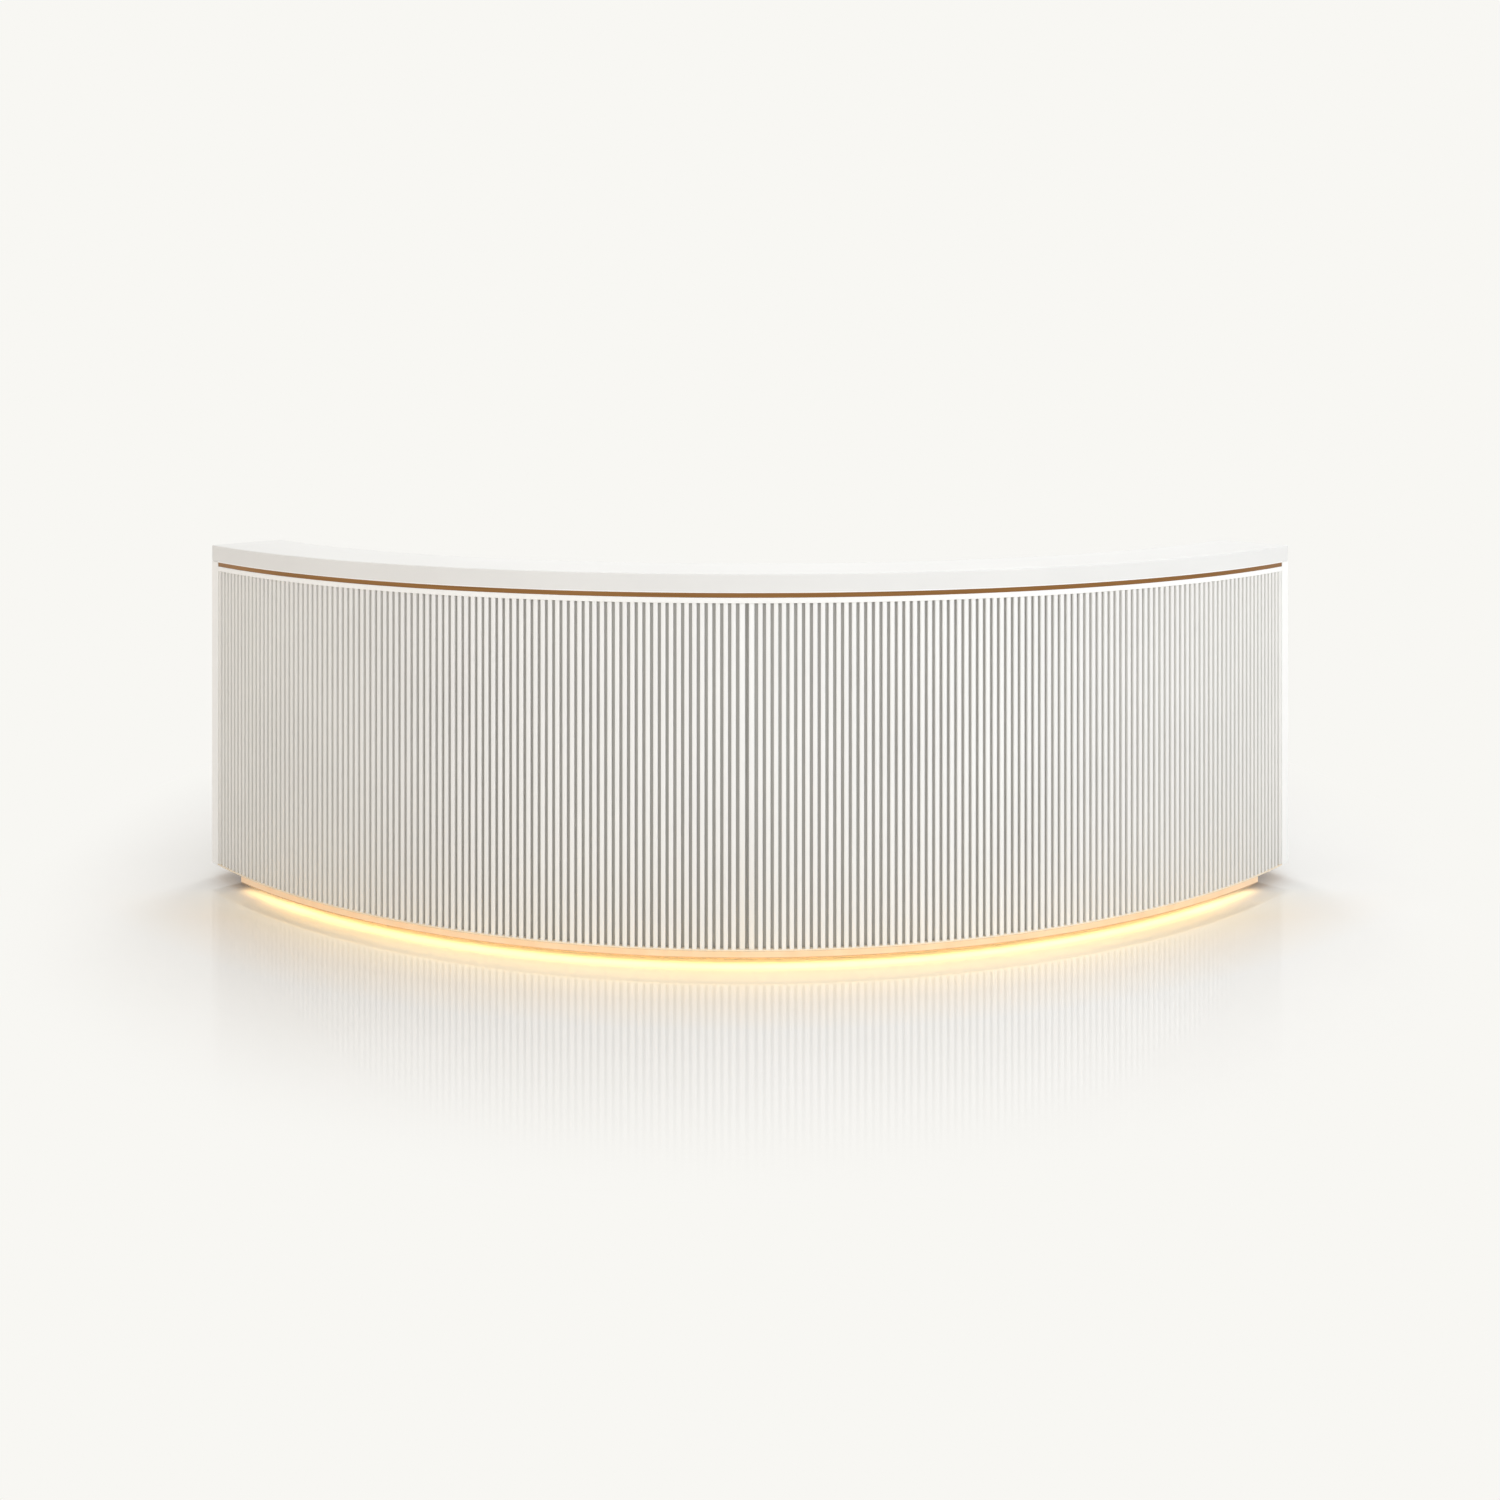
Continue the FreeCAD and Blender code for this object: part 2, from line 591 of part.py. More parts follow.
def handle(label, across, middle, upright, turn):
    """A square bar on two square posts, lying across a drawer front or upright on a door."""
    out = f"({FRONT_FACE} - handle_reach)"
    width, height = ("handle_bar", "handle_length") if upright else ("handle_length", "handle_bar")
    bar = board(f"{label}_bar", f"{across} - {width} / 2", width, out, "handle_bar",
                f"{middle} - {height} / 2", height, turn)
    pieces = [bar]
    for shift in ("(handle_length - handle_bar) / 2", "(handle_bar - handle_length) / 2"):
        aside, up = ("0", shift) if upright else (shift, "0")
        pieces.append(board(f"{label}_post", f"{across} + {aside} - handle_bar / 2", "handle_bar",
                            out, "handle_reach", f"{middle} + {up} - handle_bar / 2", "handle_bar", turn))
    nodes.append(fused(label, pieces))


def drawers():
    """Three drawers on side runners between the bank's uprights."""
    turn = f"-{BANK_ANGLE}"
    unit_sides("drawer_bank_sides", turn)
    low = f"({DECK_TOP} + front_gap)"
    high = f"({WORKTOP_LOW} - front_gap)"
    fronts = f"({high} - {low} - 2 * front_gap)"
    top_height = f"({fronts} * top_drawer_share / 100)"
    middle_height = f"({fronts} * middle_drawer_share / 100)"
    bottom_height = f"({fronts} - {top_height} - {middle_height})"
    lows = {
        "bottom": (low, bottom_height),
        "middle": (f"({low} + {bottom_height} + front_gap)", middle_height),
        "top": (f"({high} - {top_height})", top_height),
    }
    channels = []
    for name, (bottom, height) in lows.items():
        label = f"drawer_{name}"
        nodes.append(board(f"{label}_front", "-(bank_width - front_gap) / 2", "bank_width - front_gap",
                           FRONT_FACE, "front_board", bottom, height, turn))
        floor = f"({bottom} + box_lift)"
        wall_height = f"({height} - box_lift - box_headroom)"
        inside = f"(2 * {BOX_HALF} - 2 * box_wall)"
        box = [board("box_side", left, "box_wall", FRONT_BACK, "box_depth", floor, wall_height, turn)
               for left in (f"-{BOX_HALF}", f"({BOX_HALF} - box_wall)")]
        box.append(board("box_back", f"-{inside} / 2", inside, f"({FRONT_BACK} + box_depth - box_wall)",
                         "box_wall", floor, wall_height, turn))
        box.append(board("box_floor", f"-{inside} / 2", inside, FRONT_BACK, "(box_depth - box_wall)",
                         floor, "box_floor", turn))
        nodes.append(group(f"{label}_box", box))
        middle = f"({floor} + {wall_height} / 2)"
        rails = []
        for side in (-1, 1):
            reach = "(runner_width - running_gap)"
            channels.append(runner("runner_channel", side, f"({SIDE_INNER} - {reach})", reach,
                                   "runner_height", middle, -1, turn))
            rails.append(runner("runner_rail", side, BOX_HALF, "(runner_width - runner_metal - running_gap)",
                                "runner_height - 2 * runner_metal - 2 * running_gap", middle, 1, turn))
        nodes.append(group(f"{label}_rails", rails))
        handle(f"{label}_handle", "0", f"({bottom} + {height} - handle_margin)", False, turn)
    nodes.append(group("runner_channels", channels))


def cupboard():
    """Two doors that turn on pivot hinges, with one shelf behind them."""
    turn = BANK_ANGLE
    unit_sides("cupboard_sides", turn)
    low = f"({DECK_TOP} + pivot_plate + closing_gap)"
    high = f"({WORKTOP_LOW} - pivot_plate - closing_gap)"
    middle = f"({FRONT_FACE} + front_board / 2)"
    reach = "(bank_width / 2 - front_gap / 2 - front_board / 2)"
    hinges = []
    for name, side in (("left", "-1"), ("right", "1")):
        across = f"({side} * {reach})"
        left = "front_gap / 2" if side == "1" else f"-{reach}"
        leaf = board("door_leaf", left, f"{reach} - front_gap / 2", FRONT_FACE, "front_board", low,
                     f"{high} - {low}", turn)
        edge = turned(group("door_edge", [rod("door_nose", "front_board / 2", f"{high} - {low}",
                                             across, middle, low)]), turn)
        depth = "(pivot_length + closing_gap)"
        holes = [rod("pivot_hole", "pivot_radius + pivot_clearance", depth, across, middle, start)
                 for start in (low, f"{high} - {depth}")]
        solid = fused(f"door_{name}_solid", [leaf, edge])
        nodes.append(cut(f"door_{name}", solid, turned(group("pivot_holes", holes), turn)))
        for plate_low, pin_low in ((DECK_TOP, DECK_TOP), (f"({WORKTOP_LOW} - pivot_plate)",
                                                         f"({WORKTOP_LOW} - pivot_plate - pivot_length)")):
            plate = board("pivot_plate_flat", f"{across} - pivot_plate_length / 2", "pivot_plate_length",
                          FRONT_FACE, "front_board", plate_low, "pivot_plate", turn)
            pin = rod("pivot", "pivot_radius", "pivot_length + pivot_plate", across, middle, pin_low,
                      sides="small_part_sides")
            pin = turned(group("pivot_pin", [pin]), turn)
            hinges.append(fused("pivot_hinge", [plate, pin]))
        handle(f"door_{name}_handle", f"{side} * handle_margin",
               f"({high} - handle_margin - handle_length / 2)", True, turn)
    nodes.append(group("pivot_hinges", hinges))
    width = "(bank_width - 2 * board - 2 * glue_gap)"
    nodes.append(board("cupboard_shelf", f"-{width} / 2", width, f"({SIDE_FRONT} + shelf_setback)",
                       f"({SIDE_BACK} - {SIDE_FRONT} - 2 * shelf_setback)", SHELF_LOW, "board", turn))


def open_shelves():
    """Curved shelves in the two open bays, on cleats screwed to the uprights."""
    shelf = sector("shelf_right", f"({DECK_INNER} + shelf_setback)", ROOM_OUTER, SHELF_LOW, "board",
                   *OPEN_BAY)
    nodes.extend([shelf, mirrored("shelf_left", shelf)])
    low = f"({SHELF_LOW} - batten)"
    out = f"({SIDE_FRONT} + shelf_setback + board)"
    cleats = battens(low)
    for left in (f"-{SIDE_INNER}", f"({SIDE_INNER} - batten)"):
        cleats.append(board("cleat", left, "batten", out, "batten_length", low, "batten", BANK_ANGLE))
    nodes.append(group("shelf_cleats", cleats))


ledge()
end_panels()
cladding()
fluted_panels()
wall()
decks()
centre_partitions()
worktops()
plinth()
light()
drawers()
cupboard()
open_shelves()
document.recompute()

for item in document.Objects:
    if {"Invalid", "Error"} & set(item.State):
        raise RuntimeError(f"{item.Label} did not build: {item.State}")
os.makedirs("parts", exist_ok=True)
for node in nodes:
    if node.Shape.isNull() or not node.Shape.isValid():
        raise RuntimeError(f"{node.Label} has no valid shape")
    node.Shape.exportStep(f"parts/{node.Label}.step")
print(len(nodes), "sub-parts written")
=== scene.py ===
import itertools
import math

import bmesh
import bpy
from mathutils import Matrix, Vector


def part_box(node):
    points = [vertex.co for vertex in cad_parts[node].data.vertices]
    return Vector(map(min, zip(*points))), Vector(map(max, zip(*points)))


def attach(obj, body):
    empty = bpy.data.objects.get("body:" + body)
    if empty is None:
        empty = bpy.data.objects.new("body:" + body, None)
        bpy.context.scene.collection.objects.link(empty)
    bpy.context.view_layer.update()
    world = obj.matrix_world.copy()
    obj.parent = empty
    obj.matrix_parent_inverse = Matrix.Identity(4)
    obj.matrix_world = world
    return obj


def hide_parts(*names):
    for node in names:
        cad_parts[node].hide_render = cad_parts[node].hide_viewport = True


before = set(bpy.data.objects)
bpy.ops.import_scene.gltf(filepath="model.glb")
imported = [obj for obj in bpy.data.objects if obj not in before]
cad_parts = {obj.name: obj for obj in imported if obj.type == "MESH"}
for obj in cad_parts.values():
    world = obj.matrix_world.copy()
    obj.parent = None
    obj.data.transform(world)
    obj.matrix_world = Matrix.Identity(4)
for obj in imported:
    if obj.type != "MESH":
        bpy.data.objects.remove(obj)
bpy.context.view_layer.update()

# Plinth: a recessed frame of bent melamine-faced boards and birch plywood joists, glued and screwed together.
# It stands on nailed nylon glides, and the body's deck is screwed down on it.


def linear(colour):
    """An sRGB hex colour as linear RGBA."""
    parts = [int(colour[i:i + 2], 16) / 255 for i in (1, 3, 5)]
    return [c / 12.92 if c <= 0.04045 else ((c + 0.055) / 1.055) ** 2.4 for c in parts] + [1.0]


def add(tree, kind, inputs=None, stops=(), **settings):
    """Add a node with its settings and, on a ramp, its (place, hex colour) stops. Each input is linked to an
    output or to a list of outputs, or set to a value."""
    made = tree.nodes.new(kind)
    for key, setting in settings.items():
        setattr(made, key, setting)
    if stops:
        elements = made.color_ramp.elements
        for _ in stops[len(elements):]:
            elements.new(0.5)
        for element, (place, colour) in zip(elements, stops):
            element.position = place
            element.color = linear(colour)
    for key, given in (inputs or {}).items():
        several = isinstance(given, list) and isinstance(given[0], bpy.types.NodeSocket)
        for item in given if several else [given]:
            if isinstance(item, bpy.types.NodeSocket):
                tree.links.new(item, made.inputs[key])
            else:
                made.inputs[key].default_value = item
    return made


def coating(name, **sockets):
    """A material with one Principled shader, whose constant values are set on its own sockets."""
    material = bpy.data.materials.new(name)
    material.use_nodes = True
    material.node_tree.nodes.clear()
    shader = add(material.node_tree, "ShaderNodeBsdfPrincipled", sockets)
    add(material.node_tree, "ShaderNodeOutputMaterial", {"Surface": shader.outputs[0]})
    return material, material.node_tree, shader


def worked(tree, shader, colour, gloss, relief=None):
    """Give a coating its colour, its gloss as (pattern, smooth, rough) and its relief as (pattern, strength,
    depth in metres)."""
    tree.links.new(colour, shader.inputs["Base Color"])
    pattern, smooth, rough = gloss
    roughness = add(tree, "ShaderNodeMapRange", {"Value": pattern, "To Min": smooth, "To Max": rough})
    tree.links.new(roughness.outputs[0], shader.inputs["Roughness"])
    if relief:
        pattern, strength, depth = relief
        bump = add(tree, "ShaderNodeBump", {"Height": pattern, "Strength": strength, "Distance": depth})
        tree.links.new(bump.outputs[0], shader.inputs["Normal"])


def paint(material, *nodes):
    """Give CAD nodes their finish."""
    for node in nodes:
        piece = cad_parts[node]
        if not piece.material_slots:
            piece.data.materials.append(material)
        for place in piece.material_slots:
            place.material = material


# Birch plywood, sanded and sealed: pale straw grain, 30 mm wide and 400 mm long, with soft darker growth lines.
birch, tree, shader = coating("birch_plywood", IOR=1.5)
spot = add(tree, "ShaderNodeTexCoord").outputs["Object"]
stretched = add(tree, "ShaderNodeMapping", {"Vector": spot, "Scale": (1 / 0.03, 1 / 0.03, 1 / 0.4)}).outputs[0]
grain = add(tree, "ShaderNodeTexNoise",
            {"Vector": stretched, "Scale": 1.0, "Detail": 6.0, "Distortion": 0.6}).outputs["Fac"]
straw = add(tree, "ShaderNodeValToRGB", {"Fac": grain},
            [(0.32, "#B8925F"), (0.5, "#D2B07F"), (0.7, "#DFC294")]).outputs["Color"]
worked(tree, shader, straw, (grain, 0.5, 0.66), (grain, 0.15, 0.0004))
paint(birch, "plinth_joists")

# Melamine has a fine pearl relief of 1 mm, drawn at 4 mm, so that it shows. It is a slightly greyer white than
# the lacquer, and its shade changes slowly, over 250 mm.
melamine, tree, shader = coating("white_melamine", IOR=1.5)
spot = add(tree, "ShaderNodeTexCoord").outputs["Object"]
pearl = add(tree, "ShaderNodeTexNoise", {"Vector": spot, "Scale": 1 / 0.004, "Detail": 3.0}).outputs["Fac"]
cloud = add(tree, "ShaderNodeTexNoise", {"Vector": spot, "Scale": 1 / 0.25, "Detail": 4.0}).outputs["Fac"]
white = add(tree, "ShaderNodeValToRGB", {"Fac": cloud}, [(0.3, "#E4E3DF"), (0.7, "#EAE9E6")]).outputs["Color"]
worked(tree, shader, white, (pearl, 0.4, 0.56), (pearl, 0.1, 0.0003))
paint(melamine, "plinth_front_board", "plinth_back_board")


# Moulded plastics are matt, with the fine spark-eroded grain of their mould. It is 0.6 mm on the black nylon
# and 0.8 mm on the grey plastic, drawn at 1.5 and 2 mm, so that it shows.
def moulded(name, pit, dark, light, smooth, rough, strength):
    material, tree, shader = coating(name, IOR=1.53)
    spot = add(tree, "ShaderNodeTexCoord").outputs["Object"]
    pits = add(tree, "ShaderNodeTexNoise", {"Vector": spot, "Scale": 1 / pit, "Detail": 3.0}).outputs["Fac"]
    tint = add(tree, "ShaderNodeValToRGB", {"Fac": pits}, [(0.3, dark), (0.7, light)]).outputs["Color"]
    worked(tree, shader, tint, (pits, smooth, rough), (pits, strength, 0.0002))
    return material


nylon = moulded("black_nylon", 0.0015, "#1B1B1C", "#2A2A2B", 0.5, 0.65, 0.25)
paint(nylon, "floor_glides", "mains_gland")

# Light rail: a bent channel of champagne anodised aluminium, screwed under the front edge of the body and
# closed below by a lit opal cover. The driver sits behind the plinth and feeds it by a short lead.
MM = 0.001
FRONT, DEPTH, HALF_ARC = 2300.0, 650.0, math.radians(45)
ARC_CENTRE = Vector((0, (FRONT + (FRONT - DEPTH) * math.cos(HALF_ARC)) / 2 * MM, 0))
BODY_LOW = 42.0
RAIL_OUTER, RAIL_INNER, RAIL_LOW, RAIL_WALL = FRONT - 2, FRONT - 26, 22.0, 2.0
RAIL_SHORT, RAIL_STEPS = 180.0, 220
NOSE_DEEP, NOSE_TALL = 1.8, 4.0
WINDOW_LET_IN, WINDOW_PROUD, WINDOW_GAP = 0.6, 0.4, 1.0


def at(turn, out, up, across=0.0):
    """A point by its turn round the arc from the middle of the front, in radians, and then in mm: its distance
    from the arc's centre, its height, and its shift across that radius."""
    return ARC_CENTRE + Matrix.Rotation(turn, 3, "Z") @ Vector((across, -out, up)) * MM


def fan(sweep, steps):
    """Even angles in radians, from 0 to a sweep in degrees."""
    return [math.radians(sweep * step / steps) for step in range(steps + 1)]


def soften(mesh):
    """Shade a mesh smooth on its rounds and sharp on its edges."""
    mesh.polygons.foreach_set("use_smooth", [True] * len(mesh.polygons))
    mesh.set_sharp_from_angle(angle=math.radians(32))


def piece_of(name, shape, *materials):
    """A finished piece at the origin, with its faces turned outwards."""
    bmesh.ops.recalc_face_normals(shape, faces=shape.faces)
    mesh = bpy.data.meshes.new(name)
    shape.to_mesh(mesh)
    shape.free()
    for material in materials:
        mesh.materials.append(material)
    soften(mesh)
    made = bpy.data.objects.new(name, mesh)
    bpy.context.scene.collection.objects.link(made)
    return made


def ease(piece, width, segments=3, band=-1):
    """Ease a piece's sharp edges by a width in mm, with another finish on the eased faces if one is named."""
    bevel = piece.modifiers.new("eased_edges", "BEVEL")
    bevel.width = width * MM
    bevel.segments = segments
    bevel.limit_method = "ANGLE"
    bevel.angle_limit = math.radians(40)
    bevel.harden_normals = True
    bevel.material = band
    return piece


def wrap(shape, rings, closed=False):
    """Join rings of points by quads, and cap the first and the last unless the rings close on themselves."""
    loops = [[shape.verts.new(point) for point in ring] for ring in rings]
    quads = []
    for here, there in zip(loops, loops[1:] + loops[:1] if closed else loops[1:]):
        for side in range(len(here)):
            beside = (side + 1) % len(here)
            quads.append(shape.faces.new([here[side], here[beside], there[beside], there[side]]))
    caps = [] if closed else [shape.faces.new(loops[0]), shape.faces.new(loops[-1])]
    return quads, caps


def swept(name, sections, *materials):
    """One piece of closed profiles of (radius, height) swept round the arc, each (profile, start, end, steps),
    with UVs in metres along and across it."""
    shape = bmesh.new()
    uv = shape.loops.layers.uv.verify()
    for profile, start, end, steps in sections:
        turns = [start + (end - start) * step / steps for step in range(steps + 1)]
        sides, caps = wrap(shape, [[at(turn, *point) for point in profile] for turn in turns])
        along = [turn * FRONT * MM for turn in turns]
        across = [0.0]
        for (r0, z0), (r1, z1) in zip(profile, profile[1:] + profile[:1]):
            across.append(across[-1] + math.hypot(r1 - r0, z1 - z0) * MM)
        for index, face in enumerate(sides):
            step, side = divmod(index, len(profile))
            corners = (step, side), (step, side + 1), (step + 1, side + 1), (step + 1, side)
            for loop, (a, b) in zip(face.loops, corners):
                loop[uv].uv = (along[a], across[b])
        for face in caps:
            for loop in face.loops:
                loop[uv].uv = (loop.vert.co.xy.length, loop.vert.co.z)
    return piece_of(name, shape, *materials)


def oblong(inner, outer, low, high):
    return [(inner, low), (outer, low), (outer, high), (inner, high)]


# Brushed anodised metal: fine lengthwise streaks stretch the highlight along the sheet. The real streaks are
# about 0.2 mm apart and are drawn 2 mm apart, so that they show.
def brushed(name, length, dark, light, smooth, rough, strength):
    material, tree, shader = coating(name, Metallic=1.0)
    uv = add(tree, "ShaderNodeTexCoord").outputs["UV"]
    along = add(tree, "ShaderNodeMapping", {"Vector": uv, "Scale": (1 / length, 1 / 0.002, 1)}).outputs[0]
    streaks = add(tree, "ShaderNodeTexNoise", {"Vector": along, "Scale": 1.0, "Detail": 4.0}).outputs["Fac"]
    tint = add(tree, "ShaderNodeValToRGB", {"Fac": streaks}, [(0.3, dark), (0.7, light)]).outputs["Color"]
    worked(tree, shader, tint, (streaks, smooth, rough), (streaks, strength, 0.0003))
    return material


champagne = brushed("champagne_anodised_aluminium", 0.25, "#CDB090", "#D5B999", 0.34, 0.42, 0.03)
rail_end = HALF_ARC - math.asin(RAIL_SHORT / RAIL_INNER)
nose = [(RAIL_OUTER - NOSE_DEEP * (1 - math.sin(t)), RAIL_LOW + NOSE_TALL * (1 - math.cos(t)))
        for t in fan(90, 6)]
channel = [
    (RAIL_INNER, RAIL_LOW), (RAIL_INNER + RAIL_WALL, RAIL_LOW), (RAIL_INNER + RAIL_WALL, BODY_LOW - RAIL_WALL),
    (RAIL_OUTER - RAIL_WALL, BODY_LOW - RAIL_WALL), (RAIL_OUTER - RAIL_WALL, RAIL_LOW), *nose,
    (RAIL_OUTER, BODY_LOW), (RAIL_INNER, BODY_LOW)]
rail = swept("light_rail", [(channel, -rail_end, rail_end, RAIL_STEPS)], champagne)
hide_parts("light_channel")
rail.visible_glossy = False
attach(rail, "counter")


# Lit acrylic: a row of diodes behind it is blurred to a slightly uneven warm white. The row stops short of the
# rail's ends, where the cover's light dies away. A peach band, let into the rail's front, glows more faintly.
def lit_acrylic(name, roughness, spacing, dark, light):
    material, tree, shader = coating(name, Roughness=roughness, IOR=1.49)
    spot = add(tree, "ShaderNodeTexCoord").outputs["Object"]
    diodes = add(tree, "ShaderNodeTexNoise",
                 {"Vector": spot, "Scale": 1 / spacing, "Detail": 1.0}).outputs["Fac"]
    warm = add(tree, "ShaderNodeValToRGB", {"Fac": diodes}, [(0.2, dark), (0.8, light)]).outputs["Color"]
    tree.links.new(warm, shader.inputs["Base Color"])
    tree.links.new(warm, shader.inputs["Emission Color"])
    return material, tree, shader, spot


opal, tree, shader, spot = lit_acrylic("lit_opal_acrylic", 0.45, 0.03, "#FFD898", "#FFE0A8")
axes = add(tree, "ShaderNodeSeparateXYZ", {"Vector": spot}).outputs
aside = add(tree, "ShaderNodeMath", {0: axes["X"]}, operation="ABSOLUTE").outputs[0]
glow = add(tree, "ShaderNodeMapRange",
           {"Value": aside, "From Min": 1.3, "From Max": 1.5, "To Min": 5.3, "To Max": 2.0}).outputs[0]
tree.links.new(glow, shader.inputs["Emission Strength"])
paint(opal, "light_diffuser")
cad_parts["light_diffuser"].visible_glossy = False

peach, _, shader, _ = lit_acrylic("lit_peach_acrylic", 0.4, 0.05, "#ECCBA6", "#F1D6B6")
shader.inputs["Emission Strength"].default_value = 0.16
band = oblong(RAIL_OUTER - WINDOW_LET_IN, RAIL_OUTER + WINDOW_PROUD,
              RAIL_LOW + NOSE_TALL, BODY_LOW - WINDOW_GAP)
window = ease(swept("light_rail_window", [(band, -rail_end, rail_end, RAIL_STEPS)], peach), 0.3, 2)
window.visible_glossy = False
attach(window, "counter")

grey_plastic = moulded("grey_moulded_plastic", 0.002, "#B7B7B5", "#C4C4C1", 0.42, 0.55, 0.15)
paint(grey_plastic, "light_driver", "light_lead")

# Wall frame: birch plywood formers and studs behind the cladding, glued and pinned to the deck. The ledgers of
# the worktops and the cleats of the shelves are screwed to it.
paint(birch, "wall_formers", "wall_studs", "worktop_ledgers", "shelf_cleats")

# Fluted panels: two bent fibreboard panels with upright ribs, sprayed with satin white lacquer and hung on the
# studs. Each rib has softly rounded shoulders, and the panels meet in a groove in the middle.
HANDS = (-1, "left"), (1, "right")
CREST, GROOVE, BACK = FRONT - 2, FRONT - 13, FRONT - 18
RIBS_LOW, RIBS_HIGH, PANEL_STEPS = 46.0, 925.0, 120
PITCH, SEAM_LAND, MOUTH, RIB_COUNT = 20.0, 24.0, 10.0, 86
RIB_CREST, RIB_ROOT, RIB_DEPTH, RIB_SHOULDER = 10.6, 12.0, 12.0, 2.2
END_PANEL, JOINT = 40.0, 0.3


# Satin lacquer: nearly smooth, with a faint orange peel of 3 mm, drawn at 9 mm, so that it shows, and a change
# of shade over 350 mm. The ledge's copy is a shade greyer than the body's, as painted shade, and the copy on
# the thin rail under the ribs is a shade warmer, as painted glow from the light rail.
def satin_lacquer(name, dark, light):
    material, tree, shader = coating(name, IOR=1.5)
    spot = add(tree, "ShaderNodeTexCoord").outputs["Object"]
    cloud = add(tree, "ShaderNodeTexNoise", {"Vector": spot, "Scale": 1 / 0.35, "Detail": 3.0}).outputs["Fac"]
    peel = add(tree, "ShaderNodeTexNoise", {"Vector": spot, "Scale": 1 / 0.009, "Detail": 2.0}).outputs["Fac"]
    tint = add(tree, "ShaderNodeValToRGB", {"Fac": cloud}, [(0.3, dark), (0.7, light)]).outputs["Color"]
    worked(tree, shader, tint, (cloud, 0.32, 0.42), (peel, 0.02, 0.0004))
    return material


lacquer = satin_lacquer("satin_white_lacquer", "#F8F8F6", "#FCFCFA")
# Painted shade: the ledge's copy is greyer than the body's lacquer.
shaded_ledge_lacquer = satin_lacquer("satin_white_lacquer_with_painted_shade_on_ledge", "#E6E6E4", "#EAEAE8")
# Painted glow: the bottom rail's copy is tinted warm, as if lit by the light rail.
glow_tinted_lacquer = satin_lacquer("satin_lacquer_with_painted_glow_on_bottom_rail", "#F2E3CB", "#F7E9D2")


def from_axis(tree, spot):
    """The distance of a shaded point from the arc's axis, in metres."""
    flat = add(tree, "ShaderNodeMapping", {"Vector": spot, "Location": -ARC_CENTRE, "Scale": (1, 1, 0)})
    return add(tree, "ShaderNodeVectorMath", {0: flat.outputs[0]}, operation="LENGTH").outputs["Value"]


# On the ribs the lacquer is painted darker in the depth of the grooves, as painted shade. Towards the ends of
# the panels this painted shade gives way to an even, slightly grey tone, a painted average of crests and
# grooves.
rib_lacquer, tree, shader = coating("satin_white_lacquer_on_ribs", IOR=1.5)
spot = add(tree, "ShaderNodeTexCoord").outputs["Object"]
height = add(tree, "ShaderNodeMapRange",
             {"Value": from_axis(tree, spot), "From Min": GROOVE * MM, "From Max": CREST * MM}).outputs[0]
cloud = add(tree, "ShaderNodeTexNoise", {"Vector": spot, "Scale": 1 / 0.35, "Detail": 3.0}).outputs["Fac"]
top_coat = add(tree, "ShaderNodeValToRGB", {"Fac": cloud},
               [(0.3, "#F4F4F2"), (0.7, "#F8F8F6")]).outputs["Color"]
# Painted shade, darkest at the groove floor.
painted_groove_shade = add(tree, "ShaderNodeValToRGB", {"Fac": height}, [
    (0.0, "#BDBBB8"), (0.12, "#D8D6D3"), (0.35, "#F6F5F3"), (0.8, "#FFFFFF")]).outputs["Color"]
axes = add(tree, "ShaderNodeSeparateXYZ", {"Vector": spot}).outputs
aside = add(tree, "ShaderNodeMath", {0: axes["X"]}, operation="ABSOLUTE").outputs[0]
# The share of the painted groove shade: full in the middle, none at the ends.
thin = add(tree, "ShaderNodeMapRange",
           {"Value": aside, "From Min": 0.7, "From Max": 1.45, "To Min": 1.0, "To Max": 0.0}).outputs[0]
painted_rib_shade = add(tree, "ShaderNodeMix", {"Factor": thin, "A": linear("#F3F2F0"), "B": painted_groove_shade}, data_type="RGBA")
lacquer_with_painted_shade = add(tree, "ShaderNodeMix", {"Factor": 1.0, "A": top_coat, "B": painted_rib_shade.outputs["Result"]},
              data_type="RGBA", blend_type="MULTIPLY")
worked(tree, shader, lacquer_with_painted_shade.outputs["Result"], (cloud, 0.34, 0.44))


def grower(name, sockets, result):
    """An empty Geometry Nodes tree with named inputs, and those inputs."""
    tree = bpy.data.node_groups.new(name, "GeometryNodeTree")
    tree.is_modifier = True
    for socket, kind in sockets.items():
        tree.interface.new_socket(socket, in_out="INPUT", socket_type=f"NodeSocket{kind}")
    tree.interface.new_socket(result, in_out="OUTPUT", socket_type="NodeSocketGeometry")
    return tree, add(tree, "NodeGroupInput").outputs


def grown(piece, tree, sizes):
    """Run a tree on a piece with its inputs set, and keep the result as the piece's plain mesh."""
    modifier = piece.modifiers.new("grown", "NODES")
    modifier.node_group = tree
    for item in tree.interface.items_tree:
        if item.in_out == "INPUT" and item.name in sizes:
            modifier[item.identifier] = sizes[item.name]
    bpy.context.view_layer.update()
    piece.data = bpy.data.meshes.new_from_object(piece.evaluated_get(bpy.context.evaluated_depsgraph_get()))
    piece.modifiers.clear()
    soften(piece.data)


